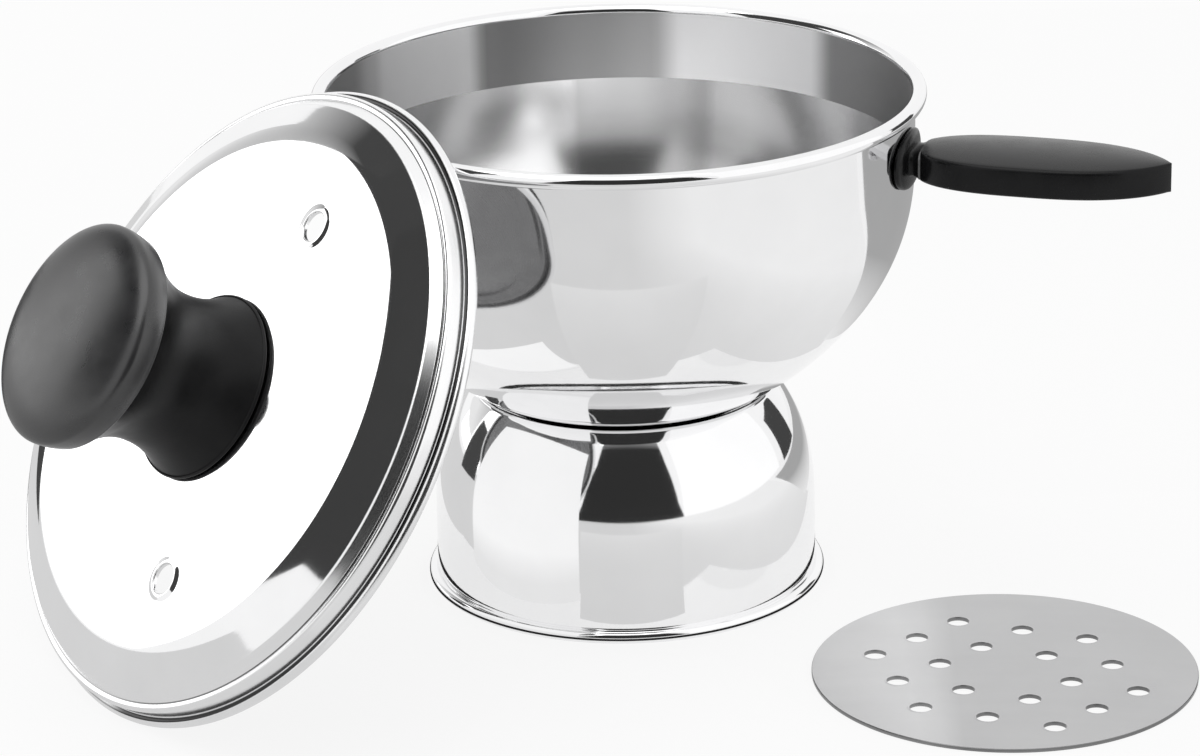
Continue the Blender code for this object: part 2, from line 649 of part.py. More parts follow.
def plate_holes():
    # Staggered rows along PLATE_ROW_DIRECTION; the middle hole of the middle row is left out.
    centers = []
    turn = Matrix.Rotation(PLATE_ROW_DIRECTION, 2)
    middle_row = (len(PLATE_ROW_COUNTS) - 1) / 2.0
    for row, count in enumerate(PLATE_ROW_COUNTS):
        for place in range(count):
            along = (place - (count - 1) / 2.0) * PLATE_HOLE_PITCH
            across = (middle_row - row) * PLATE_ROW_PITCH
            if along or across:
                x, y = turn @ Vector((along, across))
                shift_x, shift_y = PLATE_PATTERN_OFFSET
                centers.append((x + shift_x, y + shift_y, PLATE_THICKNESS / 2.0))
    return centers


def make_plate(parent):
    profile = [(0.0, PLATE_THICKNESS), (PLATE_RADIUS, PLATE_THICKNESS), (PLATE_RADIUS, 0.0), (0.0, 0.0)]
    piece = turned("steam_plate", profile, LARGE_STEPS, steel("plate_steel", 0.3), parent, closed=False)
    holes = pins_mesh("plate_cutter", PLATE_HOLE_RADIUS, 4.0 * PLATE_THICKNESS, plate_holes(), 12)
    cut(piece, guide("plate_cutter", holes, parent))
    return piece


def fine_path(path, spacing):
    # The path with points added, so that none lies further than the spacing from the next.
    points = []
    for start, end in zip(path, path[1:]):
        count = max(1, math.ceil(math.dist(start, end) / spacing))
        for i in range(count):
            share = i / count
            points.append((start[0] + (end[0] - start[0]) * share, start[1] + (end[1] - start[1]) * share))
    return np.array(points)


def distance_to_path(points, path):
    # Least distance from any of the points to a closed path, all in the profile plane.
    corners = np.array(path)
    runs = np.roll(corners, -1, axis=0) - corners
    from_corner = points[:, None] - corners[None]
    share = ((from_corner * runs).sum(axis=2) / (runs ** 2).sum(axis=1)).clip(0.0, 1.0)
    nearest = corners[None] + share[..., None] * runs[None]
    return np.linalg.norm(points[:, None] - nearest, axis=2).min()


def cover_rest_height():
    # Height of the cover's origin at which its lowest point touches the floor.
    rise = math.sin(COVER_AXIS_RISE)
    drop = math.cos(COVER_AXIS_RISE)
    return -min(z * rise - x * drop for x, z in cover_profile())


def cover_pose(distance):
    turn = Matrix.Rotation(COVER_LEAN_AZIMUTH, 4, "Z")
    move = Matrix.Translation((distance, 0.0, cover_rest_height()))
    tilt = Matrix.Rotation(math.pi / 2.0 - COVER_AXIS_RISE, 4, "Y")
    return turn @ move @ tilt


def cover_clearance(distance, cover_points, obstacle):
    # Gap between the cover, leaning at this distance, and the bowl's turned profile.
    pose = np.array(cover_pose(distance))
    angles = np.radians(np.arange(90.0, 181.0, 1.5))
    x = np.outer(np.cos(angles), cover_points[:, 0]).ravel()
    y = np.outer(np.sin(angles), cover_points[:, 0]).ravel()
    z = np.tile(cover_points[:, 1], len(angles))
    world = pose[:3, :3] @ np.stack([x, y, z]) + pose[:3, 3:]
    flat = np.stack([np.hypot(world[0], world[1]), world[2]], axis=1)
    return distance_to_path(flat[flat[:, 1] > BOWL_TOP_Z / 2.0], obstacle)


def cover_lean_distance():
    # The cover slides in from outside until the seat gap to the bowl is all that is left.
    cover_points = fine_path(cover_profile(), 0.001)
    obstacle = bowl_profile()
    step = BOWL_WALL / 2.0
    distance = BOWL_RIM_RADIUS + COVER_OUTER_RADIUS
    while cover_clearance(distance - step, cover_points, obstacle) > SEAT_GAP and distance > step:
        distance -= step
    for _ in range(8):
        step /= 2.0
        if cover_clearance(distance - step, cover_points, obstacle) > SEAT_GAP:
            distance -= step
    return distance


def build_handle(placement):
    axis = add_empty("handle_axis", placement)
    axis.location = (0.0, 0.0, HANDLE_Z)
    axis.rotation_euler = (0.0, 0.0, HANDLE_AZIMUTH)
    make_stud(axis)
    make_guard(axis)
    make_grip(axis)
    make_handle_screw(axis)


def build_cover(placement):
    axis = add_empty("lid_axis", placement)
    axis.matrix_local = cover_pose(cover_lean_distance())
    make_cover(axis)
    make_knob(axis)
    make_knob_insert(axis)
    make_knob_washer(axis)
    make_knob_screw(axis)


def build_plate(placement):
    axis = add_empty("plate_axis", placement)
    reach = BASE_FOOT_RADIUS + PLATE_FROM_FOOT + PLATE_RADIUS
    axis.location = (reach * math.cos(PLATE_AZIMUTH), reach * math.sin(PLATE_AZIMUTH), 0.0)
    make_plate(axis)


def center_set(placement):
    # Moves the whole set so that the middle of its box stands over the origin.
    bpy.context.view_layer.update()
    graph = bpy.context.evaluated_depsgraph_get()
    corners = []
    for piece in bpy.data.objects:
        if piece.type != "MESH" or piece.hide_render:
            continue
        shown = piece.evaluated_get(graph)
        mesh = shown.to_mesh()
        corners += [shown.matrix_world @ v.co for v in mesh.vertices]
        shown.to_mesh_clear()
    for axis in (0, 1):
        values = [corner[axis] for corner in corners]
        placement.location[axis] = -(min(values) + max(values)) / 2.0


def main():
    clear_scene()
    placement = add_empty("placement")
    make_bowl(placement)
    make_base(placement)
    make_ferrule(placement)
    make_backing_washer(placement)
    build_handle(placement)
    build_cover(placement)
    build_plate(placement)
    center_set(placement)


main()
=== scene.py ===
from math import acos, asin, atan2, cos, pi, radians, sin, sqrt, tan

import bmesh
import bpy
import numpy as np
from mathutils import Matrix, Vector


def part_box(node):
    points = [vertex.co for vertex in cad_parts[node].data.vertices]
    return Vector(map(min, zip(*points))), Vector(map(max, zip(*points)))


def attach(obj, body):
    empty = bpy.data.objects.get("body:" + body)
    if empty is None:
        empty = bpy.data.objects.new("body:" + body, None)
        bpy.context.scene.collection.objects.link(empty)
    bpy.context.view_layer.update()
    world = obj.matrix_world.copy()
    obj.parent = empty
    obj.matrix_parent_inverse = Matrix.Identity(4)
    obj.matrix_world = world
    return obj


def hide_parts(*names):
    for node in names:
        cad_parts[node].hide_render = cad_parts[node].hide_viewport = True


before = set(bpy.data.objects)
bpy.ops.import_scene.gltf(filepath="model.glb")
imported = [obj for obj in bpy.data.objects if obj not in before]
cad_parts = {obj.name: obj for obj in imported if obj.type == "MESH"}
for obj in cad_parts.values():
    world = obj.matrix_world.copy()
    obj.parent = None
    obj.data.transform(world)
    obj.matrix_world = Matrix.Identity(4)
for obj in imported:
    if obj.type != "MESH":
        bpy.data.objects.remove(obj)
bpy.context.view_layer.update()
print("frame loaded:", len(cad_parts), "solids")

# every turned piece stands on one of these axes
bowlLow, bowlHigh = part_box("bowl")
bowlAxis = Vector(((bowlLow.x + bowlHigh.x) / 2, (bowlLow.y + bowlHigh.y) / 2, 0.0))
plateLow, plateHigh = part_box("steam_plate")
seatGap = 0.0003  # between the bowl and the base's dished top
sharpAngle = 32.0  # degrees past which an edge stays crisp
mergeReach = 1e-6  # points closer than this become one
mapLength = 0.1  # metres of profile in one unit of the UV map
mapClosing = 0.01  # UV length of the row that closes a profile

cover = dict(
    leanAzimuth=radians(-146.3),
    axisRise=radians(31.9),
    insertMiddle=0.01805,  # height of the insert's middle over the cover's edge plane
)


def coverFrame():
    # the cover's axis leans towards its azimuth and runs through the insert's middle
    az, rise = cover["leanAzimuth"], cover["axisRise"]
    turn = Matrix.Rotation(az, 4, "Z") @ Matrix.Rotation(pi / 2 - rise, 4, "Y")
    low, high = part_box("knob_insert")
    middle = (low + high) / 2
    origin = middle - turn.to_3x3() @ Vector((0, 0, cover["insertMiddle"]))
    return Matrix.Translation(origin) @ turn


upright = Matrix.Translation(bowlAxis)
leaning = coverFrame()


# shapes: paths in the profile plane


def arcPath(centre, radius, start, end, count):
    # circle of the radius round the centre, from angle start to angle end
    angle = np.linspace(start, end, count)
    return np.stack([centre[0] + radius * np.cos(angle), centre[1] + radius * np.sin(angle)], 1)


def linePath(start, end, count):
    # start * (1 - share) + end * share, in even steps
    share = np.linspace(0, 1, count)[:, None]
    return np.array(start)[None] * (1 - share) + np.array(end)[None] * share


def bendPath(corners, radii, bendCount, lineCounts):
    # straight runs between corners, each inner corner replaced by an arc tangent to both runs
    corners = [np.array(c, float) for c in corners]
    pieces, last = [], corners[0]
    for k, radius in enumerate(radii):
        before, here, after = corners[k], corners[k + 1], corners[k + 2]
        a = (before - here) / np.linalg.norm(before - here)
        b = (after - here) / np.linalg.norm(after - here)
        half = acos(np.clip(a @ b, -1, 1)) / 2
        reach = radius / tan(half)
        middle = here + (a + b) / np.linalg.norm(a + b) * (radius / sin(half))
        start, end = here + a * reach - middle, here + b * reach - middle
        angle0, angle1 = atan2(start[1], start[0]), atan2(end[1], end[0])
        angle1 = angle0 + (angle1 - angle0 + pi) % (2 * pi) - pi
        pieces.append(linePath(last, here + a * reach, lineCounts[k])[:-1])
        pieces.append(arcPath(middle, radius, angle0, angle1, bendCount)[:-1])
        last = here + b * reach
    pieces.append(linePath(last, corners[-1], lineCounts[-1]))
    return np.vstack(pieces)


def offsetPath(path, distance):
    # every point moved to the path's right, along the mean of its two neighbours' normals
    runs = np.diff(path, axis=0)
    runs = runs / np.linalg.norm(runs, axis=1)[:, None]
    sides = np.stack([runs[:, 1], -runs[:, 0]], 1)
    first, second = np.vstack([sides[:1], sides]), np.vstack([sides, sides[-1:]])
    mean = first + second
    return path + mean * (distance / (mean * first).sum(1))[:, None]


def squaredTurn(angle, power):
    # cosine and sine with their sizes raised to the power, which squares the circle below 1
    c, s = np.cos(angle), np.sin(angle)
    return np.sign(c) * np.abs(c) ** power, np.sign(s) * np.abs(s) ** power


def ringShares(even, evenCount, edgeCount):
    # shares of a radius: even up to the first number, then ever closer up to 1
    edge = 1 - (1 - even) * np.cos(np.linspace(0, pi / 2, edgeCount))[1:]
    return np.r_[np.linspace(0, even, evenCount), edge][None]


def onceRound(steps):
    return np.linspace(0, 2 * pi, steps, endpoint=False)


# shapes: surfaces


def toPlace(points, place):
    # points in a piece's own frame, moved to its place in the set
    m = np.array(place)
    return points @ m[:3, :3].T + m[:3, 3]


def spinGrid(profile, steps, place):
    # point(u, v) = profile(v) turned about the local Z axis by the angle u
    angle = onceRound(steps)[:, None]
    x = np.cos(angle) * profile[None, :, 0]
    y = np.sin(angle) * profile[None, :, 0]
    z = np.broadcast_to(profile[None, :, 1], x.shape)
    return toPlace(np.stack([x, y, z], 2), place)


def slotsFrom(grid, row):
    # slot 0 before this row of the profile and slot 1 from it on
    return np.broadcast_to(np.arange(grid.shape[1]) >= row, grid.shape[:2]).astype(int)


def gridPatch(points, wrapU=False, wrapV=False, slot=0, skip=None):
    # quads between neighbouring points of the grid, with the map u = share round, v = length
    nu, nv = points.shape[:2]
    i, j = np.indices((nu if wrapU else nu - 1, nv if wrapV else nv - 1))
    keep = np.ones(i.shape, bool) if skip is None else ~skip[: i.shape[0], : i.shape[1]]
    i, j = i[keep], j[keep]
    i2, j2 = (i + 1) % nu, (j + 1) % nv
    quads = np.stack([i * nv + j, i2 * nv + j, i2 * nv + j2, i * nv + j2], 1)
    steps = np.linalg.norm(np.diff(points[0], axis=0), axis=1)
    length = np.r_[0, np.cumsum(steps)] / mapLength
    length = np.append(length, length[-1] + mapClosing)
    u0, u1, v0, v1 = i / nu, (i + 1) / nu, length[j], length[j + 1]
    uv = np.stack([u0, v0, u1, v0, u1, v1, u0, v1], 1).reshape(-1, 2)
    slots = slot[i, j] if isinstance(slot, np.ndarray) else np.full(len(quads), slot)
    return points.reshape(-1, 3), quads, uv, slots


def addObject(name, data):
    thing = bpy.data.objects.new(name, data)
    bpy.context.scene.collection.objects.link(thing)
    return thing


def finishEdges(mesh, sharp=sharpAngle):
    mesh.shade_smooth()
    mesh.set_sharp_from_angle(angle=radians(sharp))


def mergePoints(mesh, merge=mergeReach, flats=()):
    # doubles merged, open edges at the flat levels filled, faces turned outwards
    shape = bmesh.new()
    shape.from_mesh(mesh)
    bmesh.ops.remove_doubles(shape, verts=shape.verts, dist=merge)
    bmesh.ops.dissolve_degenerate(shape, edges=shape.edges, dist=mergeReach / 10)
    for level in flats:
        rims = [e for e in shape.edges
                if e.is_boundary and all(abs(v.co.z - level) < merge for v in e.verts)]
        bmesh.ops.triangle_fill(shape, use_beauty=True, edges=rims)
    bmesh.ops.recalc_face_normals(shape, faces=shape.faces)
    shape.to_mesh(mesh)
    shape.free()


def buildPiece(name, patches, materials, body, nodes, merge=mergeReach,
               sharp=sharpAngle, flats=()):
    # all patches in one mesh, with their map and slots
    points, faces, uvs, slots = zip(*patches)
    starts = np.cumsum([0] + [len(p) for p in points])
    quads = np.vstack([f + start for f, start in zip(faces, starts)])
    mesh = bpy.data.meshes.new(name)
    mesh.from_pydata(np.vstack(points).tolist(), [], quads.tolist())
    layer = mesh.uv_layers.new(name="UVMap")
    layer.data.foreach_set("uv", np.vstack(uvs).astype(np.float32).ravel())
    mesh.polygons.foreach_set("material_index", np.concatenate(slots).astype(np.int32))
    mergePoints(mesh, merge, flats)
    finishEdges(mesh, sharp)
    piece = addObject(name, mesh)
    for material in materials:
        mesh.materials.append(material)
    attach(piece, body)
    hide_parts(*nodes)
    return piece


def cutAway(piece, grid):
    # takes the closed form of the grid out of the piece, for good
    points, quads = gridPatch(grid, True)[:2]
    mesh = bpy.data.meshes.new("cutter")
    mesh.from_pydata(points.tolist(), [], quads.tolist())
    mergePoints(mesh)
    cutter = addObject("cutter", mesh)
    boolean = piece.modifiers.new("hole", "BOOLEAN")
    boolean.operation, boolean.solver, boolean.object = "DIFFERENCE", "EXACT", cutter
    graph = bpy.context.evaluated_depsgraph_get()
    result = bpy.data.meshes.new_from_object(piece.evaluated_get(graph))
    finishEdges(result)
    piece.modifiers.clear()
    piece.data = result
    bpy.data.objects.remove(cutter)


# finishes

# noises by their scale, where no look gives it, their detail and their roughness
grain = dict(
    smudges=(35.0, 4.0, 0.6), rings=(2.0, 0.7), waves=(1.0, 0.4),
    mottle=(180.0, 3.0, 0.5), tooth=(2600.0, 2.0, 0.6),
    span=(0.3, 0.7),  # part of a noise's range that a look spans
)


def newMaterial(name):
    material = bpy.data.materials.new(name)
    material.use_nodes = True
    return material, material.node_tree, material.node_tree.nodes["Principled BSDF"]


def setInputs(tree, node, values):
    # a socket is linked to the input, and a plain value is set on it
    for place, value in values.items():
        if isinstance(value, bpy.types.NodeSocket):
            tree.links.new(value, node.inputs[place])
        else:
            node.inputs[place].default_value = value


def addNode(tree, kind, values):
    node = tree.nodes.new("ShaderNode" + kind)
    setInputs(tree, node, values)
    return node


def objectPoint(tree):
    return tree.nodes.new("ShaderNodeTexCoord").outputs["Object"]


def calculate(tree, operation, *values, kind="Math", out="Value"):
    node = addNode(tree, kind, dict(enumerate(values)))
    node.operation = operation
    return node.outputs[out]


def mapRange(tree, value, reach, ends):
    # first to last end, as the value goes from the first to the last number of the reach
    return addNode(tree, "MapRange", {
        "Value": value, "From Min": reach[0], "From Max": reach[1],
        "To Min": ends[0], "To Max": ends[1]}).outputs["Result"]


def ringCoordinates(tree, place):
    # the point in the piece's own frame; and its distance from the axis with its height
    mapping = addNode(tree, "Mapping", {
        "Vector": objectPoint(tree), "Location": place.to_translation(),
        "Rotation": place.to_euler()})
    mapping.vector_type = "TEXTURE"
    spot = mapping.outputs["Vector"]
    x, y, z = addNode(tree, "SeparateXYZ", {"Vector": spot}).outputs
    flat = addNode(tree, "CombineXYZ", {"X": x, "Y": y}).outputs["Vector"]
    length = calculate(tree, "LENGTH", flat, kind="VectorMath")
    return spot, addNode(tree, "CombineXYZ", {"X": length, "Y": z}).outputs["Vector"]


def noise(tree, vector, scale, detail, roughness):
    return addNode(tree, "TexNoise", {
        "Vector": vector, "Scale": scale, "Detail": detail, "Roughness": roughness,
    }).outputs["Fac"]


def ramp(tree, value, colors, blend="LINEAR"):
    # each colour at its position, blended in between
    node = addNode(tree, "ValToRGB", {"Fac": value})
    node.color_ramp.interpolation = blend
    stops = node.color_ramp.elements
    while len(stops) < len(colors):
        stops.new(0.5)
    for stop, (position, color) in zip(stops, colors):
        stop.position = position
        stop.color = (*color, 1)
    return node.outputs["Color"]


def spread(look):
    return list(zip(grain["span"], (look["dark"], look["light"])))


def bump(tree, value, distance, under=None):
    values = {"Strength": 1.0, "Distance": distance, "Height": value}
    if under:
        values["Normal"] = under
    return addNode(tree, "Bump", values).outputs["Normal"]


def paintReflectionSectors(tree, spot, color, reflectionFans):
    # painted reflections: light and dark sectors round the axis, by degrees from +X, where a
    # turned finish would mirror light and dark
    x, y = addNode(tree, "SeparateXYZ", {"Vector": spot}).outputs[:2]
    share = calculate(tree, "DIVIDE", calculate(tree, "ARCTAN2", y, x), 2 * pi)
    tones = ramp(tree, calculate(tree, "FRACT", share),
                 [(degrees / 360, [tone] * 3) for degrees, tone in reflectionFans], "EASE")
    return calculate(tree, "MULTIPLY", color, tones, kind="VectorMath", out="Vector")


def steelMaterial(name, place, look):
    # polished or satin sheet: rings left by the buff, faint dents, smudges in the gloss
    material, tree, shader = newMaterial(name)
    spot, rings = ringCoordinates(tree, place)
    smudges = noise(tree, spot, *grain["smudges"])
    fine = noise(tree, rings, look["ringScale"], *grain["rings"])
    waves = noise(tree, spot, look["waveScale"], *grain["waves"])
    color = ramp(tree, smudges, spread(look))
    # painted reflections: sectors of light and dark by angle multiply the colour
    if "reflectionFans" in look:
        color = paintReflectionSectors(tree, spot, color, look["reflectionFans"])
    # the gloss follows the mean of the buff's rings and the smudges
    mean = calculate(tree, "MULTIPLY_ADD", fine, 0.5, calculate(tree, "MULTIPLY", smudges, 0.5))
    setInputs(tree, shader, {
        "Metallic": 1.0, "Base Color": color,
        "Roughness": mapRange(tree, mean, grain["span"], look["roughness"]),
        "Normal": bump(tree, fine, look["ringDepth"], bump(tree, waves, look["waveDepth"]))})
    if "brushed" in look:
        tangent = tree.nodes.new("ShaderNodeTangent")
        tangent.direction_type = "UV_MAP"
        tangent.uv_map = "UVMap"
        setInputs(tree, shader, {
            "Anisotropic": look["brushed"], "Anisotropic Rotation": look["brushTurn"],
            "Tangent": tangent.outputs["Tangent"]})
    return material


def phenolicMaterial(name, look):
    # moulded resin: near black, a little mottled, with a fine tooth from the mould
    material, tree, shader = newMaterial(name)
    source = objectPoint(tree)
    mottle, tooth = (noise(tree, source, *grain[kind]) for kind in ("mottle", "tooth"))
    setInputs(tree, shader, {
        "Base Color": ramp(tree, mottle, spread(look)), "Specular IOR Level": look["gloss"],
        "Roughness": mapRange(tree, mottle, grain["span"], look["roughness"]),
        "Normal": bump(tree, tooth, look["toothDepth"])})
    return material


mirrorLook = dict(
    dark=(0.88, 0.88, 0.885), light=(0.93, 0.93, 0.935), roughness=(0.035, 0.075),
    ringScale=2400.0, ringDepth=6e-7, waveScale=28.0, waveDepth=2e-5)
ringLook = dict(mirrorLook, roughness=(0.16, 0.22))
# fans of painted reflection: degrees round the piece's axis and the tone there
# painted dark reflection along the groove, on one side of the cover only
grooveReflectionLook = dict(ringLook, reflectionFans=(
    (0, 0.8), (20, 0.35), (60, 0.15), (112, 0.15), (125, 0.45), (165, 0.55), (190, 1), (340, 1),
    (358, 0.8)))
# painted dark reflection along the rolled edge, on one side of the cover only
curlReflectionLook = dict(ringLook, reflectionFans=(
    (0, 0.5), (8, 0.06), (112, 0.06), (150, 0.04), (190, 0.08), (210, 1), (335, 1), (358, 0.5)))
underLook = dict(
    dark=(0.22, 0.22, 0.222), light=(0.28, 0.28, 0.283), roughness=(0.22, 0.32),
    ringScale=2600.0, ringDepth=2e-6, waveScale=20.0, waveDepth=1e-5)
# the satin inside carries painted reflection streaks in its fans
satinLook = dict(
    underLook, dark=(0.92, 0.92, 0.925), light=(0.96, 0.96, 0.965), roughness=(0.18, 0.22),
    ringDepth=8e-7, brushed=0.5, brushTurn=0.25, reflectionFans=(
        (0, 0.62), (45, 0.62), (60, 0.6), (65, 0.58), (68, 0.56), (72, 0.4), (78, 0.54),
        (87, 0.68), (98, 0.7), (101, 1), (117, 1), (123, 0.95), (145, 1), (180, 0.95),
        (190, 1), (325, 1), (350, 0.62)))
# the band above the crease carries painted reflection streaks in its fans
bandLook = dict(
    underLook, dark=(0.96, 0.96, 0.965), light=(0.99, 0.99, 0.995), roughness=(0.42, 0.46),
    ringDepth=0.0, reflectionFans=(
        (0, 0.3), (40, 0.34), (47, 1), (66, 1), (76, 1), (83, 0.5), (96, 0.4), (113, 0.28),
        (118, 0.32), (123, 0.95), (145, 1), (150, 0.75), (158, 0.45), (172, 0.34), (190, 1),
        (325, 1), (350, 0.3)))
# the sheet's lighter sector is a painted sheen
sheetLook = dict(
    dark=(0.62, 0.62, 0.625), light=(0.68, 0.68, 0.685), roughness=(0.26, 0.36),
    ringScale=300.0, ringDepth=2e-6, waveScale=25.0, waveDepth=2e-5,
    reflectionFans=((0, 0.8), (88.2, 0.78), (91, 1), (96, 0.92), (200, 0.8)))
# darker copy of the sheet for the rim's side and the holes' walls: painted shade
edgeShadeLook = dict(sheetLook, dark=(0.22, 0.22, 0.222), light=(0.3, 0.3, 0.303))
fittingLook = dict(
    dark=(0.6, 0.6, 0.61), light=(0.68, 0.68, 0.69), roughness=(0.18, 0.3),
    ringScale=3000.0, ringDepth=3e-6, waveScale=60.0, waveDepth=1e-5)
brassLook = dict(fittingLook, dark=(0.7, 0.52, 0.24), light=(0.78, 0.6, 0.3),
                 roughness=(0.2, 0.32))
gripLook = dict(dark=(0.005, 0.005, 0.0055), light=(0.008, 0.008, 0.0085),
                roughness=(0.22, 0.3), gloss=0.18, toothDepth=8e-6)
knobLook = dict(dark=(0.014, 0.014, 0.015), light=(0.02, 0.02, 0.021),
                roughness=(0.26, 0.34), gloss=0.8, toothDepth=1.2e-5)
# darker, less glossy copy of the knob's resin for the waist and the foot: painted shade under the
# cap
waistShadeLook = dict(knobLook, dark=(0.006, 0.006, 0.0065), light=(0.01, 0.01, 0.0105),
                 roughness=(0.34, 0.42), gloss=0.18)
# the sheet's painted sheen and its darker rest meet along a line from this place, away from its
# middle
sheenLineStart = Vector((-0.0145, -0.2, 0))
sheetFrame = Matrix.Translation((plateLow + plateHigh) / 2 + sheenLineStart)
bowlOutside = steelMaterial("bowl_outside", upright, mirrorLook)
bowlInside = steelMaterial("bowl_inside", upright, satinLook)
bowlBand = steelMaterial("bowl_inside_band", upright, bandLook)
baseFinish = steelMaterial("base_polished", upright, mirrorLook)
coverFinish = steelMaterial("cover_polished", leaning, mirrorLook)
coverRings = steelMaterial("cover_rings", leaning, ringLook)
# the groove and the rolled edge carry painted dark reflection lines
coverGrooveReflection = steelMaterial("cover_groove_painted_reflection", leaning, grooveReflectionLook)
coverCurlReflection = steelMaterial("cover_curl_painted_reflection", leaning, curlReflectionLook)
coverInside = steelMaterial("cover_inside", leaning, underLook)
plateFinish = steelMaterial("plate_satin", sheetFrame, sheetLook)
plateEdgeShade = steelMaterial("plate_edge_painted_shade", sheetFrame, edgeShadeLook)
fittingFinish = steelMaterial("fitting_steel", upright, fittingLook)
coverFitting = steelMaterial("cover_fitting_steel", leaning, fittingLook)
brassFinish = steelMaterial("insert_brass", leaning, brassLook)
gripFinish = phenolicMaterial("grip_phenolic", gripLook)
knobFinish = phenolicMaterial("knob_phenolic", knobLook)
waistShadeFinish = phenolicMaterial("waist_phenolic_painted_shade", waistShadeLook)
print("finishes made")

# bowl

bowl = dict(
    rimRadius=0.06199, roll=0.0031, wall=0.0008, top=0.105, floor=0.038,
    straight=0.015, floorRadius=0.0205, power=2.24, fullness=0.81,
    holeRadius=0.0054, crease=0.089, around=256,
    rimSteps=40, curveSteps=90, wallSteps=8, floorSteps=8, innerSteps=4,
)


def bowlWallRadius():
    return bowl["rimRadius"] - bowl["roll"] + bowl["wall"]


def bowlCurve(count):
    # radius = floor + (wall - floor) * (1 - s^power)^fullness, with s the share of the drop
    straightEnd = bowl["top"] - bowl["straight"]
    s = np.sin(np.linspace(0, pi / 2, count))
    full = np.clip(1 - s ** bowl["power"], 0, 1) ** bowl["fullness"]
    curve = np.stack([bowl["floorRadius"] + (bowlWallRadius() - bowl["floorRadius"]) * full,
                      straightEnd + (bowl["floor"] - straightEnd) * s], 1)
    floor = linePath(curve[-1], (bowl["holeRadius"], bowl["floor"]), bowl["floorSteps"])[1:]
    return np.vstack([curve, floor])


def makeBowl():
    # rolled rim, straight wall and the drawn curve, and the same offset by the sheet inside
    tube = bowl["roll"] / 2
    centre = (bowl["rimRadius"] - tube, bowl["top"] - tube)
    meet = acos((bowlWallRadius() - centre[0]) / tube)
    rim = arcPath(centre, tube, pi, -meet, bowl["rimSteps"])
    curve = bowlCurve(bowl["curveSteps"])
    wall = linePath(rim[-1], curve[0], bowl["wallSteps"])[1:-1]
    outside = np.vstack([wall, curve])
    inside = offsetPath(outside, bowl["wall"])[::-1]
    inner = linePath(inside[-1], rim[0], bowl["innerSteps"])[1:-1]
    profile = np.vstack([rim, outside, inside, inner])
    grid = spinGrid(profile, bowl["around"], upright)
    # slot 1 inside, and slot 2 above the crease
    insideStart = len(rim) + len(outside)
    finish = slotsFrom(grid, insideStart)
    finish[:, insideStart:] += profile[insideStart:, 1] > bowl["crease"]
    buildPiece("bowl_shell", [gridPatch(grid, True, True, finish)],
               [bowlOutside, bowlInside, bowlBand], "stand", ("bowl",))


makeBowl()
print("bowl made")

# base

base = dict(
    height=0.0377, footRadius=0.0411, wall=0.0008, straight=0.0117, inset=0.0052,
    power=3.0, crestBend=0.0011, roll=0.0026, flat=0.0012, around=256,
    bendShare=0.8, dishSteps=240, crestSteps=200, domeSteps=140, bendSteps=12,
    footSteps=(28, 16), wallSteps=6,
)


def domeRadius(z):
    # radius = wall - inset * s^power, with s the share of the rise to the dish's floor
    s = np.clip(z - base["straight"], 0, None) / (base["height"] - base["straight"])
    return base["footRadius"] - base["roll"] + base["wall"] - base["inset"] * s ** base["power"]


def baseCurve():
    # dish a gap below the bowl, rounded crest, then the dome and the straight wall
    dish = offsetPath(bowlCurve(base["dishSteps"]), -seatGap)[::-1]
    last = np.argmax(dish[:, 0] > domeRadius(dish[:, 1])) - 1
    step = dish[last + 1] - dish[last]
    share = np.linspace(0, 1, base["crestSteps"])[:, None]
    fine = dish[last] + step * share
    crest = fine[np.argmax(fine[:, 0] > domeRadius(fine[:, 1]))]
    z = np.linspace(crest[1], base["straight"], base["domeSteps"])
    dome = np.stack([domeRadius(z), z], 1)
    reach = base["crestBend"] * base["bendShare"]
    dish = dish[: last + 1][np.linalg.norm(dish[: last + 1] - crest, axis=1) > reach]
    dome = dome[np.linalg.norm(dome - crest, axis=1) > reach]
    t = np.linspace(0, 1, base["bendSteps"])[1:-1, None]
    bend = dish[-1] * (1 - t) ** 2 + crest * 2 * t * (1 - t) + dome[0] * t ** 2
    return np.vstack([dish, bend, dome])


def makeBase():
    # dished top and dome, and the same offset by the sheet inside, joined by the rolled foot
    tube = base["roll"] / 2
    wallRadius = base["footRadius"] - base["roll"] + base["wall"]
    lift = sqrt(tube ** 2 - (base["flat"] / 2) ** 2)
    centre = (base["footRadius"] - tube, lift)
    meet = acos((wallRadius - centre[0]) / tube)
    flatTurn = asin(base["flat"] / 2 / tube)
    outer, inner = base["footSteps"]
    foot = np.vstack([arcPath(centre, tube, meet, -pi / 2 + flatTurn, outer),
                      arcPath(centre, tube, -pi / 2 - flatTurn, -pi, inner)])
    curve = baseCurve()
    wall = linePath(curve[-1], foot[0], base["wallSteps"])[1:-1]
    outside = np.vstack([curve, wall])
    inside = offsetPath(outside, base["wall"])[::-1]
    grid = spinGrid(np.vstack([outside, foot, inside]), base["around"], upright)
    finish = slotsFrom(grid, len(outside) + len(foot))
    buildPiece("base_shell", [gridPatch(grid, True, True, finish)], [baseFinish, bowlInside],
               "stand", ("base_skirt",))


makeBase()
print("base made")

# cover

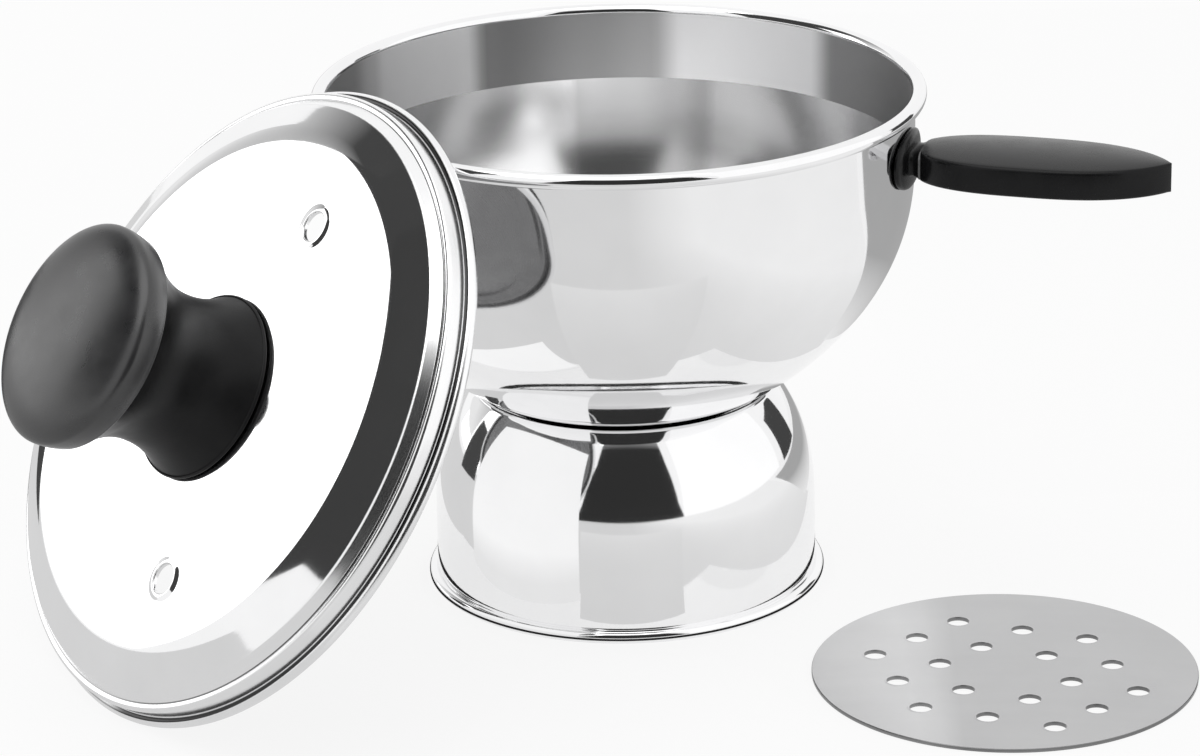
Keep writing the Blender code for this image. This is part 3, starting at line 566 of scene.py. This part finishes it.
cover.update(
    innerRadius=0.0628, wall=0.0007, roll=0.0025, wallHeight=0.0052,
    # width and rise of the groove, the shoulder and the slope, from the wall's top inwards
    runs=((0.0016, -0.0004), (0.0016, 0.0019), (0.0074, 0.0033)), slopeEnd=0.0596,
    crown=0.0005, flatRadius=0.02, screwHole=0.0023,
    bends=(0.06, 0.012, 0.0014, 0.0005, 0.0009), bendSteps=14,
    runSteps=(8, 26, 6, 3, 3, 5), edgeSteps=44, around=288,
    # the groove line and the curl line are painted dark reflections
    grooveLine=(0.06175, 0.06207), curlLine=(0.06352, 0.06448),  # radii of the dark lines
    ventAngles=(radians(165.0), radians(21.5)), ventCircle=0.0386,
    ventRadius=0.003, ventWindow=0.0062, ventBend=0.0003, bendRings=7,
    lipHeight=0.00025, lipWidth=0.0016, lipRings=9,
    landShares=(0.33, 0.66, 1.0), underShares=(0.2, 0.4, 0.7),
    panelMargin=0.0012, panelEnd=0.05,  # where the panel's rows may meet a vent's window
)


def coverPaths():
    # panel, slope, shoulder, groove and wall; the rolled edge; and the first offset by the sheet
    tube = cover["roll"] / 2
    outerRadius = cover["innerRadius"] + cover["wall"]
    centre = (cover["innerRadius"] + tube, tube)
    meet = acos((outerRadius - centre[0]) / tube)
    edge = arcPath(centre, tube, meet, -pi, cover["edgeSteps"])
    corners = [(outerRadius, edge[0][1]), (outerRadius, tube + cover["wallHeight"])]
    for width, rise in cover["runs"]:
        corners.append((corners[-1][0] - width, corners[-1][1] + rise))
    top = corners[-1][1] + cover["crown"]
    corners += [(cover["flatRadius"], top), (cover["screwHole"], top)]
    outside = bendPath(corners[::-1], cover["bends"], cover["bendSteps"], cover["runSteps"])
    return outside, edge, offsetPath(outside, cover["wall"])


def windowLoop(points, window):
    # boundary points of the window, once round
    c0, c1, r0, r1 = window
    cols, rows = np.arange(c0, c1 + 1), np.arange(r0, r1 + 1)
    wide, high = len(cols), len(rows)
    i = np.r_[np.full(high, c0), cols[1:], np.full(high - 1, c1), cols[-2:0:-1]]
    j = np.r_[rows, np.full(wide - 1, r1), rows[-2::-1], np.full(wide - 2, r0)]
    return points[i % len(points), j]


def ventPatch(local, window, angle, radii, heights):
    # rings round the vent's centre: lip = lipHeight * (3 s^2 - 2 s^3), with s the share of its
    # width, then a quarter turn down into the hole and back out along the underside
    outer, inner = windowLoop(local, window), windowLoop(local[:, ::-1], window)
    centre = cover["ventCircle"] * np.array([cos(angle), sin(angle)])
    boundary = np.linalg.norm(outer[:, :2] - centre, axis=1)
    direction = (outer[:, :2] - centre) / boundary[:, None]
    rim, bend, wall, lipWidth, lipHeight = (
        cover[k] for k in ("ventRadius", "ventBend", "wall", "lipWidth", "lipHeight"))
    turn = np.linspace(0, pi / 2, cover["bendRings"])[1:]
    lip = np.append(np.linspace(1, 0, cover["lipRings"])[1:-1] * lipWidth, 0) + rim + bend
    share = 1 - (lip - rim - bend) / lipWidth
    distances = np.append(lip, rim + bend * (1 - np.sin(turn)))
    lifts = np.append(lipHeight * (3 * share ** 2 - 2 * share ** 3),
                      lipHeight - bend * (1 - np.cos(turn)))
    start = rim + bend + lipWidth

    def ring(distance, lift, drop=0.0):
        # height = the sheet's at that radius + lift - drop
        xy = centre + direction * np.broadcast_to(distance, len(outer))[:, None]
        z = np.interp(np.linalg.norm(xy, axis=1), radii, heights) + lift - drop
        return np.column_stack([xy, z])

    rings = [outer]
    rings += [ring(boundary + (start - boundary) * s, 0.0) for s in cover["landShares"]]
    rings += [ring(distance, lift) for distance, lift in zip(distances, lifts)]
    under = len(rings)
    rings.append(ring(rim, 0.0, wall))
    rings += [ring(rim + (boundary - rim) * s, 0.0, wall) for s in cover["underShares"]]
    rings.append(inner)
    points = toPlace(np.stack(rings, 1), leaning)
    return gridPatch(points, True, slot=slotsFrom(points, under))


def makeCover():
    # outside, rolled edge and underside turned about the cover's axis; a window of the grid
    # round each vent is left out above and below, and the vent's own rings fill it
    outside, edge, inside = coverPaths()
    steps = cover["around"]
    profile = np.vstack([outside, edge[1:], inside[::-1]])
    local = spinGrid(profile, steps, Matrix.Identity(4))
    radii, total = outside[:, 0], len(profile)
    panelRows = np.where((radii > cover["flatRadius"] + cover["panelMargin"])
                         & (radii < cover["panelEnd"]))[0]
    near, far = (cover["ventCircle"] + side * cover["ventWindow"] for side in (-1, 1))
    firstRow = panelRows[np.where(radii[panelRows] < near)[0][-1]]
    lastRow = panelRows[np.where(radii[panelRows] > far)[0][0]]
    half = int(round(cover["ventWindow"] / cover["ventCircle"] / (2 * pi) * steps))
    order = np.argsort(radii[: lastRow + 2])
    skip, patches = np.zeros((steps, total), bool), []
    for angle in cover["ventAngles"]:
        middle = int(round(angle / (2 * pi) * steps))
        columns = np.arange(middle - half, middle + half) % steps
        skip[np.ix_(columns, np.arange(firstRow, lastRow))] = True
        skip[np.ix_(columns, np.arange(total - 1 - lastRow, total - 1 - firstRow))] = True
        window = (middle - half, middle + half, firstRow, lastRow)
        patches.append(ventPatch(local, window, angle, radii[order], outside[order, 1]))
    # slots by row: polished panel and slope, rings past the slope, inside, and the painted dark
    # reflection lines
    underStart = len(outside) + len(edge) - 1
    slots = slotsFrom(local, underStart)
    slots[:, np.where(radii > cover["slopeEnd"])[0][0]: underStart] = 2
    outward = np.arange(total) < len(outside) + len(edge) // 2
    for slot, (low, high) in ((3, cover["grooveLine"]), (4, cover["curlLine"])):
        slots[:, outward & (profile[:, 0] > low) & (profile[:, 0] < high)] = slot
    patches.append(gridPatch(toPlace(local, leaning), True, True, slots, skip))
    buildPiece("cover_shell", patches,
               [coverFinish, coverInside, coverRings, coverGrooveReflection, coverCurlReflection], "cover",
               ("lid_pan",), merge=2 * mergeReach)


makeCover()
print("cover made")

# knob

knob = dict(
    seat=0.01205, height=0.0362, capRadius=0.0222, lipRadius=0.0217,
    bandHeight=0.0044, domeHeight=0.0049, domePower=2.15,
    lipBend=0.0006, lipTurn=0.38, waistRadius=0.0152, waistHeight=0.0125,
    footRadius=0.0188, footInset=0.0004, footPower=2.2, footEdge=0.0008,
    footBend=0.0005, footTurn=0.35, boreRadius=0.0045, boreDepth=0.0123,
    sleeve=0.0003,  # between the bore's wall and the knob's body round it
    footRows=4,  # rows of the lower flare that belong to the foot's piece
    steps=(40, 14, 8, 40, 30, 10),  # dome, band, lip, upper flare, lower flare, foot
    sharp=40, around=160,
)


def makeKnob():
    # superellipse dome, band, flare r = waist + (lip - waist) * s^2 down to the waist,
    # and waist + (foot - waist) * s^footPower out to the foot
    seat, cap, neck, bend = (knob[k] for k in ("seat", "capRadius", "waistRadius", "lipBend"))
    domeSteps, bandSteps, lipSteps, upperSteps, lowerSteps, footSteps = knob["steps"]
    bandTop = seat + knob["height"] - knob["domeHeight"]
    waist = seat + knob["waistHeight"]
    t = np.linspace(0, pi / 2, domeSteps)
    dome = np.stack([cap * np.sin(t) ** (2 / knob["domePower"]),
                     bandTop + knob["domeHeight"] * np.cos(t) ** (2 / knob["domePower"])], 1)
    s = np.linspace(0, 1, bandSteps)
    band = np.stack([cap - (cap - knob["lipRadius"]) * s ** 2,
                     bandTop - (knob["bandHeight"] - bend) * s], 1)
    x, z = band[-1]
    lip = arcPath((x - bend, z), bend, 0, -pi * knob["lipTurn"], lipSteps)
    s, (x, z) = np.linspace(1, 0, upperSteps), lip[-1]
    upper = np.stack([neck + (x - neck) * s ** 2, waist + (z - waist) * s], 1)
    s = np.linspace(0, 1, lowerSteps)
    flare, bend = knob["footRadius"] - knob["footInset"] - neck, knob["footBend"]
    lower = np.stack([neck + flare * s ** knob["footPower"],
                      waist + (seat + knob["footEdge"] - waist) * s], 1)
    foot = arcPath((knob["footRadius"] - bend, seat + bend), bend, pi * knob["footTurn"],
                   -pi / 2, footSteps)
    # the foot with the bore's wall is a piece of its own, because the steel mirrors only that
    boreTop, rows, gap = seat + knob["boreDepth"], knob["footRows"], knob["sleeve"]
    radius = knob["boreRadius"]
    bore = np.array([(radius, seat), (radius, boreTop), (0, boreTop)])
    socket = np.array([(radius + gap, lower[-rows][1]), (radius + gap, boreTop + gap),
                       (0, boreTop + gap)])
    body = np.vstack([dome, band[1:], lip[1:], upper[1:], lower[1:1 - rows], socket])
    grid = spinGrid(body, knob["around"], leaning)
    # slot 1 from the lip down: the darker waist finish, painted shade
    finish = slotsFrom(grid, len(dome) + len(band) + len(lip) - 3)
    piece = buildPiece("knob_body", [gridPatch(grid, True, slot=finish)],
                       [knobFinish, waistShadeFinish], "cover", ("knob",),
                       sharp=knob["sharp"])
    piece.visible_glossy = False
    core = np.vstack([socket[::-1] - (gap / 2, 0), lower[-rows:], foot, bore])
    core[:, 0] = np.clip(core[:, 0], 0, None)
    grid = spinGrid(core, knob["around"], leaning)
    buildPiece("knob_foot", [gridPatch(grid, True)], [waistShadeFinish], "cover", ("knob",),
               sharp=knob["sharp"])


makeKnob()
print("knob made")

# side handle

handle = dict(
    azimuth=radians(-17.0), height=0.0937,
    start=0.0635, length=0.0491, width=0.0222, thickness=0.0058, crown=0.001,
    widestShare=0.42, startPowers=(2.6, 0.45), tipPowers=(2.9, 0.8),
    endTrim=0.0016, edgeRadius=0.0007, edgeShare=0.6, alongSteps=44,
    sectionSteps=(7, 25, 9),  # corner, top, underside
    screwAt=0.0762, screwHole=0.003, screwDepth=0.0016, screwStart=-0.004, holeAround=48,
    wall=0.06, guardHeight=0.0114, guardSpread=0.019, guardThick=0.001,
    guardEdge=0.0004, guardPower=0.9, guardRings=(0.9, 14, 8), guardAround=96,
    neckWidth=0.0096, neckHeight=0.0052, neckStart=0.0005, neckEnd=0.0632,
    neckPinch=0.18, neckPower=0.45, neckRows=16, neckAround=48,
)
handleFrame = (upright @ Matrix.Translation((0, 0, handle["height"]))
               @ Matrix.Rotation(handle["azimuth"], 4, "Z"))


def gripHalfWidth(x, widest, end):
    # w = width / 2 * (1 - share^p)^q on each side of the widest place
    back = (widest - x) / (widest - handle["start"] + handle["endTrim"])
    front = (x - widest) / (end - widest)
    p, q = handle["startPowers"]
    behind = (1 - np.clip(back, 0, 1) ** p) ** q
    p, q = handle["tipPowers"]
    ahead = np.clip(1 - np.clip(front, 0, 1) ** p, 0, 1) ** q
    return handle["width"] / 2 * np.where(x < widest, behind, ahead)


def gripSection():
    # rounded rectangle, once round: side of the edge and turn of the rounding, for y and for z
    corner, across, under = handle["sectionSteps"]
    bend, one = np.linspace(0, pi / 2, corner), np.ones(corner)
    top, bottom = np.linspace(1, -1, across)[1:-1], np.linspace(-1, 1, under)[1:-1]
    arcs = [bend, bend + pi / 2, bend + pi, bend - pi / 2]
    c, s = [np.cos(a) for a in arcs], [np.sin(a) for a in arcs]
    edgeY = np.r_[one, top, -one, -one, bottom, one]
    roundY = np.r_[c[0], top * 0, c[1], c[2], bottom * 0, c[3]]
    edgeZ = np.r_[one, top * 0 + 1, one, -one, bottom * 0 - 1, -one]
    roundZ = np.r_[s[0], top * 0 + 1, s[1], s[2], bottom * 0 - 1, s[3]]
    return edgeY[None], roundY[None], edgeZ[None], roundZ[None]


def makeGrip():
    # the section carried along the grip, as wide as the leaf outline; on top it rises by
    # crown * w / widest w * (1 - share^2), with share = |y| / w
    begin = handle["start"]
    end, widest = begin + handle["length"], begin + handle["length"] * handle["widestShare"]
    t = np.linspace(0, pi / 2, handle["alongSteps"])
    x = np.r_[widest - (widest - begin) * np.cos(t[:-1]), widest + (end - widest) * np.sin(t)]
    w = gripHalfWidth(x, widest, end)
    w[-1] = 0
    w = w[:, None]
    r = np.minimum(handle["edgeRadius"], w * handle["edgeShare"])
    half = handle["thickness"] / 2
    edgeY, roundY, edgeZ, roundZ = gripSection()
    y = edgeY * (w - r) + roundY * r
    z = edgeZ * (half - r) + roundZ * r
    share = np.clip(np.abs(y) / np.maximum(w, 1e-6), 0, 1)
    z = z + (edgeZ > 0) * handle["crown"] * (w / (handle["width"] / 2)) * (1 - share ** 2)
    grid = np.stack([np.broadcast_to(x[:, None], y.shape), y, z], 2)
    cap = np.broadcast_to(np.array([begin, 0, 0]), grid[:1].shape)
    grid = toPlace(np.r_[cap, grid], handleFrame)
    piece = buildPiece("grip_body", [gridPatch(grid, False, True)], [gripFinish], "stand",
                       ("handle_grip",))
    radius, start, depth = handle["screwHole"], handle["screwStart"], handle["screwDepth"] - half
    hole = np.array([(0, start), (radius, start), (radius, depth), (0, depth)])
    place = handleFrame @ Matrix.Translation((handle["screwAt"], 0, 0))
    cutAway(piece, spinGrid(hole, handle["holeAround"], place))
    piece.visible_glossy = False


def makeGuard():
    # plate bent round the wall, with squared turns for its outline;
    # thickness = edge + thick * (1 - rho^4)^0.5, with rho the share of the way to the outline
    wall, rows, around = handle["wall"], handle["neckRows"], handle["neckAround"]
    rho = ringShares(*handle["guardRings"])
    angle = onceRound(handle["guardAround"])[:, None]
    c, s = squaredTurn(angle, handle["guardPower"])
    across = c * handle["guardSpread"] / 2 * rho
    up = s * handle["guardHeight"] / 2 * rho
    thick = handle["guardEdge"] + handle["guardThick"] * np.sqrt(np.clip(1 - rho ** 4, 0, 1))
    turn = across / wall
    outer = np.stack([(wall + thick) * np.cos(turn), (wall + thick) * np.sin(turn), up], 2)
    inner = np.stack([wall * np.cos(turn), wall * np.sin(turn), up], 2)
    plate = toPlace(np.concatenate([outer, inner[:, ::-1]], 1), handleFrame)
    # neck: bar of squared turns from the plate to the grip, times 1 + pinch * (2 s - 1)^2
    s = np.linspace(0, 1, rows)
    x = wall + handle["neckStart"] + (handle["neckEnd"] - wall - handle["neckStart"]) * s
    pinch = (1 + handle["neckPinch"] * (2 * s - 1) ** 2)[:, None]
    c, s = squaredTurn(onceRound(around), handle["neckPower"])
    y, z = c * handle["neckWidth"] / 2, s * handle["neckHeight"] / 2
    neck = np.stack([np.broadcast_to(x[:, None], (rows, around)), y * pinch, z * pinch], 2)
    ends = [np.broadcast_to(np.array([x[k], 0, 0]), (1, around, 3)) for k in (0, -1)]
    neck = toPlace(np.r_[ends[0], neck, ends[1]], handleFrame)
    buildPiece("guard_body", [gridPatch(plate, True), gridPatch(neck, False, True)],
               [gripFinish], "stand", ("handle_guard",))


makeGrip()
makeGuard()
print("side handle made")

# steam plate

steamPlate = dict(
    radius=0.038, hole=0.0022, lip=0.0005, lipHeight=0.00008, edge=0.00012,
    lipShape=((1.3, 0), (1, 0), (0.6, 0.6), (0.3, 1), (0.08, 0.5)),  # shares of lip, height
    pitch=0.0119, rowPitch=0.0121, rows=(3, 4, 5, 4, 3),
    direction=radians(42.0), offset=(0.0, -0.002),
    sharp=20, around=180, holeAround=32,
)


def plateHoles():
    # staggered rows; the middle of the middle row is left out
    centres = []
    turn = Matrix.Rotation(steamPlate["direction"], 2)
    for row, count in enumerate(steamPlate["rows"]):
        for place in range(count):
            along = (place - (count - 1) / 2) * steamPlate["pitch"]
            across = ((len(steamPlate["rows"]) - 1) / 2 - row) * steamPlate["rowPitch"]
            if along or across:
                centres.append(turn @ Vector((along, across)) + Vector(steamPlate["offset"]))
    return centres


def makePlate():
    # rings for the rim and for every hole's lip and wall; the sheet is filled flat between them
    middle = Vector(((plateLow.x + plateHigh.x) / 2, (plateLow.y + plateHigh.y) / 2, 0))
    top, bottom = plateHigh.z, plateLow.z
    edge, radius, hole = steamPlate["edge"], steamPlate["radius"], steamPlate["hole"]
    lip, rise, lipShape = steamPlate["lip"], steamPlate["lipHeight"], steamPlate["lipShape"]
    rim = np.array([(radius - edge, top), (radius, top - edge), (radius, bottom + edge),
                    (radius - edge, bottom)])
    mouth = np.array([*((hole + lip * out, top + rise * up) for out, up in lipShape),
                      (hole, top - rise), (hole, bottom + edge), (hole + edge, bottom)])
    place = Matrix.Translation(middle)
    # the rim's side and the holes' walls take the darker edge finish, painted shade
    patches = [gridPatch(spinGrid(rim, steamPlate["around"], place), True, slot=1)]
    for centre in plateHoles():
        place = Matrix.Translation(middle + centre.to_3d())
        grid = spinGrid(mouth, steamPlate["holeAround"], place)
        patches.append(gridPatch(grid, True, slot=slotsFrom(grid, len(lipShape) - 1)))
    piece = buildPiece("plate_sheet", patches, [plateFinish, plateEdgeShade], "plate", ("steam_plate",),
                       sharp=steamPlate["sharp"], flats=(top, bottom))
    piece.visible_glossy = False


makePlate()
print("steam plate made")

# fittings

fittings = dict(
    boreRadius=0.004, shankRadius=0.0051, flangeRadius=0.0083, flange=0.0009,
    upperSeat=0.0391, washerFoot=0.0355, around=96,
    crossWidth=0.0007, crossReach=0.0024, crossDepth=0.0009, crossSlopes=(0.35, 0.5),
    domeShare=0.8, headRings=(0.93, 26, 6), rollSteps=(8, 14),
)
# heads of the two screws, with how domed they are, and their shanks
knobScrew = dict(radius=0.004, height=0.0022, shank=0.002, length=0.011, domed=1, seat=0.00965)
gripScrew = dict(
    radius=0.0027, height=0.0011, shank=0.0015, length=0.0023, domed=0.25, seat=-0.0016)


def makeFerrule():
    # hollow rivet with rolled flanges above the bowl's floor and under the base's top
    bore, shank, flange = (fittings[k] for k in ("boreRadius", "shankRadius", "flangeRadius"))
    inner, outer = fittings["rollSteps"]
    top, seat = fittings["upperSeat"] + fittings["flange"], fittings["upperSeat"]
    foot, bottom = fittings["washerFoot"], fittings["washerFoot"] - fittings["flange"]
    tube = fittings["flange"] / 2
    profile = np.vstack([
        arcPath((bore + tube, top - tube), tube, pi, pi / 2, inner),
        arcPath((flange - tube, top - tube), tube, pi / 2, -pi / 2, outer),
        [(shank, seat)], [(shank, foot)],
        arcPath((flange - tube, foot - tube), tube, pi / 2, -pi / 2, outer),
        arcPath((bore + tube, bottom + tube), tube, -pi / 2, -pi, inner)])
    grid = spinGrid(profile, fittings["around"], upright)
    buildPiece("ferrule_body", [gridPatch(grid, True, True)], [fittingFinish], "stand",
               ("steam_ferrule",))


def screwGrid(place, screw):
    # head in rings, height * (1 - domed * share * (1 - (1 - rho^4)^0.5)), sunk along a cross
    # as deep as it is inside both arms' widths; then the head's seat and the shank
    radius, height = screw["radius"], screw["height"]
    rho = ringShares(*fittings["headRings"])
    angle = onceRound(fittings["around"])[:, None]
    x, y = np.cos(angle) * rho * radius, np.sin(angle) * rho * radius
    sag = 1 - np.sqrt(np.clip(1 - rho ** 4, 0, 1))
    z = -height + screw["domed"] * sag * height * fittings["domeShare"]
    scale = radius / knobScrew["radius"]
    width, reach = fittings["crossWidth"] * scale, fittings["crossReach"] * scale
    side, tip = fittings["crossSlopes"]

    def arm(a, b):
        return (np.clip((width - np.abs(a)) / (width * side), 0, 1)
                * np.clip((reach - np.abs(b)) / (width * tip), 0, 1))

    z = z + fittings["crossDepth"] * scale * np.maximum(arm(x, y), arm(y, x))
    tail = np.array([(radius, 0), (screw["shank"], 0), (screw["shank"], screw["length"]),
                     (0, screw["length"])])
    rest = spinGrid(tail, fittings["around"], Matrix.Identity(4))
    return toPlace(np.concatenate([np.stack([x, y, z], 2), rest], 1), place)


def makeScrews():
    place = leaning @ Matrix.Translation((0, 0, knobScrew["seat"]))
    buildPiece("knob_screw_body", [gridPatch(screwGrid(place, knobScrew), True)], [coverFitting],
               "cover", ("knob_screw",))
    place = handleFrame @ Matrix.Translation((handle["screwAt"], 0, gripScrew["seat"]))
    buildPiece("grip_screw_body", [gridPatch(screwGrid(place, gripScrew), True)],
               [fittingFinish], "stand", ("handle_screw",))


makeFerrule()
makeScrews()
for node, finish in (("ferrule_washer", fittingFinish), ("handle_stud", fittingFinish),
                     ("knob_insert", brassFinish), ("knob_washer", coverFitting)):
    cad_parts[node].material_slots[0].material = finish
print("fittings made")

# studio

studio = dict(
    floorSize=6.0, floorColor=(0.86, 0.86, 0.86), floorRoughness=0.6,
    floorWhite=0.86, floorMirrored=0.8, worldLight=0.75,
)
# cards that only the steel sees: a wall over a line on the floor, or an outline at one height;
# the grey is even, or changes from one length to the other along a direction
cards = dict(
    cardFront=dict(
        corners=((-0.25, -0.45, 0), (0.318, -0.45, 0), (0.287, -0.45, 0.08),
            (0.254, -0.45, 0.35), (0.23, -0.45, 0.8), (-0.13, -0.45, 0.8),
            (-0.16, -0.45, 0.35), (-0.22, -0.45, 0.08)),
        along=(0, 0, 1), reach=(0.5, 0.8), grey=(0.03, 1.0)),
    cardLeft=dict(wall=((-0.9, 0.15), (-0.9, -0.62)), heights=(0.25, 1.5), grey=0.05),
    cardLeftHigh=dict(wall=((-0.9, 0.52), (-0.9, 0.15)), heights=(0.7, 1.5), grey=0.055),
    cardLeftBack=dict(wall=((-0.76, 1.0), (-0.9, 0.52)), heights=(0.16, 1.5),
        along=(0, -0.5, 1), reach=(-0.1, 0.66), grey=(0.85, 0.06)),
    cardBaseLeft=dict(wall=((-0.159, 0.082), (-0.175, 0.038)), heights=(0.018, 0.088), grey=0.06),
    cardBaseRight=dict(wall=((0.589, 0.266), (0.475, 0.43)), heights=(0.002, 0.227), grey=0.06),
    cardFloorRight=dict(
        outline=((0.08, 0.055), (0.4, 0.085), (0.4, 0.45), (0.03, 0.45)),
        height=0.0007, along=(0.8, 0.6, 0), reach=(0.09, 0.18), grey=(0.9, 0.4)),
    cardFloorFront=dict(
        outline=((-1.8, -1.4), (1.4, -1.4), (1.4, 0.06), (0.075, 0.06), (0.05, -0.036),
            (-0.04, -0.036), (-0.065, 0.02), (-0.065, 1.4), (-1.8, 1.4)),
        height=0.0004, along=(1, 0, 0), reach=(0.02, 0.16), grey=(0.7, 0.92)),
    # darker towards the base: painted shade of the floor near the base, seen only in the steel
    cardFloorNearShade=dict(
        outline=((-0.0728, -0.15), (0.103, -0.15), (0.0227, -0.024), (-0.0094, -0.024)),
        height=0.0006, along=(0, 1, 0), reach=(-0.15, -0.03), grey=(0.79, 0.7)),
    cardRight=dict(wall=((0.32, -0.45), (0.75, 0.25)), heights=(0, 1.2), grey=1.1),
    cardBaseFill=dict(wall=((-0.055, 0.0066), (-0.0145, -0.0335)), heights=(0, 0.06),
        along=(0, 0, 1), reach=(0.004, 0.012), grey=(0.86, 1.0)),
)
# dark disc on the floor under the base's foot, which only the steel sees
footShade = dict(radius=0.0434, height=0.0008, grey=0.02, around=96)
lamps = dict(
    lampTop=dict(at=(-0.3, -0.4, 1.6), aim=(0, 0, 0.05), size=(1.4, 1.4), radiance=1.15),
    lampLeft=dict(at=(-1.3, 0.75, 0.55), aim=(0, 0, 0.08), size=(1.0, 1.0), radiance=0.86),
)


def addSheet(name, corners, material):
    mesh = bpy.data.meshes.new(name)
    mesh.from_pydata(corners, [], [tuple(range(len(corners)))])
    mesh.materials.append(material)
    return addObject(name, mesh)


def makeFloor():
    # pale and matt under the lamps; camera and mirrored rays see it nearly white
    material, tree, shader = newMaterial("pale_floor")
    setInputs(tree, shader, {
        "Roughness": studio["floorRoughness"], "Base Color": (*studio["floorColor"], 1)})
    rays = tree.nodes.new("ShaderNodeLightPath").outputs
    mirrored = calculate(tree, "MAXIMUM", rays["Is Glossy Ray"], rays["Is Transmission Ray"])
    shown = calculate(tree, "MULTIPLY", mirrored, studio["floorMirrored"])
    mix = addNode(tree, "MixShader", {
        "Fac": calculate(tree, "MULTIPLY_ADD", rays["Is Camera Ray"], studio["floorWhite"], shown),
        1: shader.outputs["BSDF"], 2: addNode(tree, "Emission", {}).outputs["Emission"]})
    setInputs(tree, tree.nodes["Material Output"], {"Surface": mix.outputs["Shader"]})
    side = studio["floorSize"] / 2
    corners = [(-side, -side, 0), (side, -side, 0), (side, side, 0), (-side, side, 0)]
    floor = addSheet("floor", corners, material)


def makeWorld():
    # white to the camera and in mirror images, and a plain level of light to everything else
    world = bpy.data.worlds.new("studio")
    bpy.context.scene.world = world
    world.use_nodes = True
    tree = world.node_tree
    rays = tree.nodes.new("ShaderNodeLightPath").outputs
    seen = calculate(tree, "ADD", rays["Is Camera Ray"], rays["Is Glossy Ray"])
    white = calculate(tree, "ADD", seen, rays["Is Transmission Ray"])
    white.node.use_clamp = True
    level = mapRange(tree, white, (0, 1), (studio["worldLight"], 1.0))
    setInputs(tree, tree.nodes["Background"], {"Color": (1, 1, 1, 1), "Strength": level})


def onlyMirrored(name, corners, material):
    # flat piece of the studio that nothing but a glossy ray meets
    card = addSheet(name, corners, material)
    card.visible_camera = card.visible_diffuse = card.visible_shadow = False
    card.visible_transmission = card.visible_volume_scatter = False


def cardCorners(card):
    if "wall" in card:
        (x0, y0), (x1, y1) = card["wall"]
        low, high = card["heights"]
        return [(x0, y0, low), (x1, y1, low), (x1, y1, high), (x0, y0, high)]
    if "outline" in card:
        outline = np.array(card["outline"])
        return np.column_stack([outline, np.full(len(outline), card["height"])]).tolist()
    return card["corners"]


def glowMaterial(name):
    material, tree = newMaterial(name)[:2]
    glow = addNode(tree, "Emission", {})
    setInputs(tree, tree.nodes["Material Output"], {"Surface": glow.outputs["Emission"]})
    return material, tree, glow


def makeCards():
    # an uneven grey goes from its first to its last value by the length along the direction
    for name, card in cards.items():
        material, tree, glow = glowMaterial(name)
        grey = card["grey"]
        if "along" in card:
            length = calculate(tree, "DOT_PRODUCT", objectPoint(tree), card["along"],
                               kind="VectorMath")
            grey = mapRange(tree, length, card["reach"], grey)
        setInputs(tree, glow, {"Strength": grey})
        onlyMirrored(name, cardCorners(card), material)


def makeFootShade():
    # the polished foot mirrors the dark of its own contact with the floor
    material, tree, glow = glowMaterial("foot_shade")
    setInputs(tree, glow, {"Color": (*[footShade["grey"]] * 3, 1)})
    profile = np.array([(footShade["radius"], footShade["height"])])
    disc = spinGrid(profile, footShade["around"], upright)[:, 0]
    onlyMirrored("footShade", disc.tolist(), material)


def makeLamps():
    # energy = radiance * pi * area, so a lamp is as bright as its radiance says at any size
    for name, lamp in lamps.items():
        light = bpy.data.lights.new(name, "AREA")
        light.shape = "RECTANGLE"
        light.size, light.size_y = lamp["size"]
        light.energy = lamp["radiance"] * pi * lamp["size"][0] * lamp["size"][1]
        lampObject = addObject(name, light)
        lampObject.location = lamp["at"]
        aim = Vector(lamp["aim"]) - Vector(lamp["at"])
        lampObject.rotation_euler = aim.to_track_quat("-Z", "Y").to_euler()
        lampObject.visible_camera = False


# camera at the photograph's angle, placed from the bowl's axis
view = dict(
    focal=138.376, sensor=36.0, pitch=0.350367, yaw=-0.0054116, roll=-0.0197225,
    back=0.89203, height=0.36811, clip=(0.05, 20),
)


def makeCamera():
    # looks along +Y turned by the yaw and down by the pitch, then rolls about that line
    pitch, yaw, roll = view["pitch"], view["yaw"], view["roll"]
    forward = Vector((sin(yaw) * cos(pitch), cos(yaw) * cos(pitch),
                      -sin(pitch)))
    right = Vector((cos(yaw), -sin(yaw), 0))
    up = right.cross(forward)
    side = right * cos(roll) + up * sin(roll)
    top = up * cos(roll) - right * sin(roll)
    turn = Matrix((side, top, -forward)).transposed().to_4x4()
    data = bpy.data.cameras.new("camera")
    data.lens, data.sensor_width, data.sensor_fit = view["focal"], view["sensor"], "HORIZONTAL"
    data.clip_start, data.clip_end = view["clip"]
    camera = addObject("camera", data)
    spot = bowlAxis + Vector((0, -view["back"], view["height"]))
    camera.matrix_world = Matrix.Translation(spot) @ turn
    bpy.context.scene.camera = camera


makeFloor()
makeWorld()
makeCards()
makeFootShade()
makeLamps()
makeCamera()
bpy.context.scene.view_settings.view_transform = "Standard"
print("studio made")
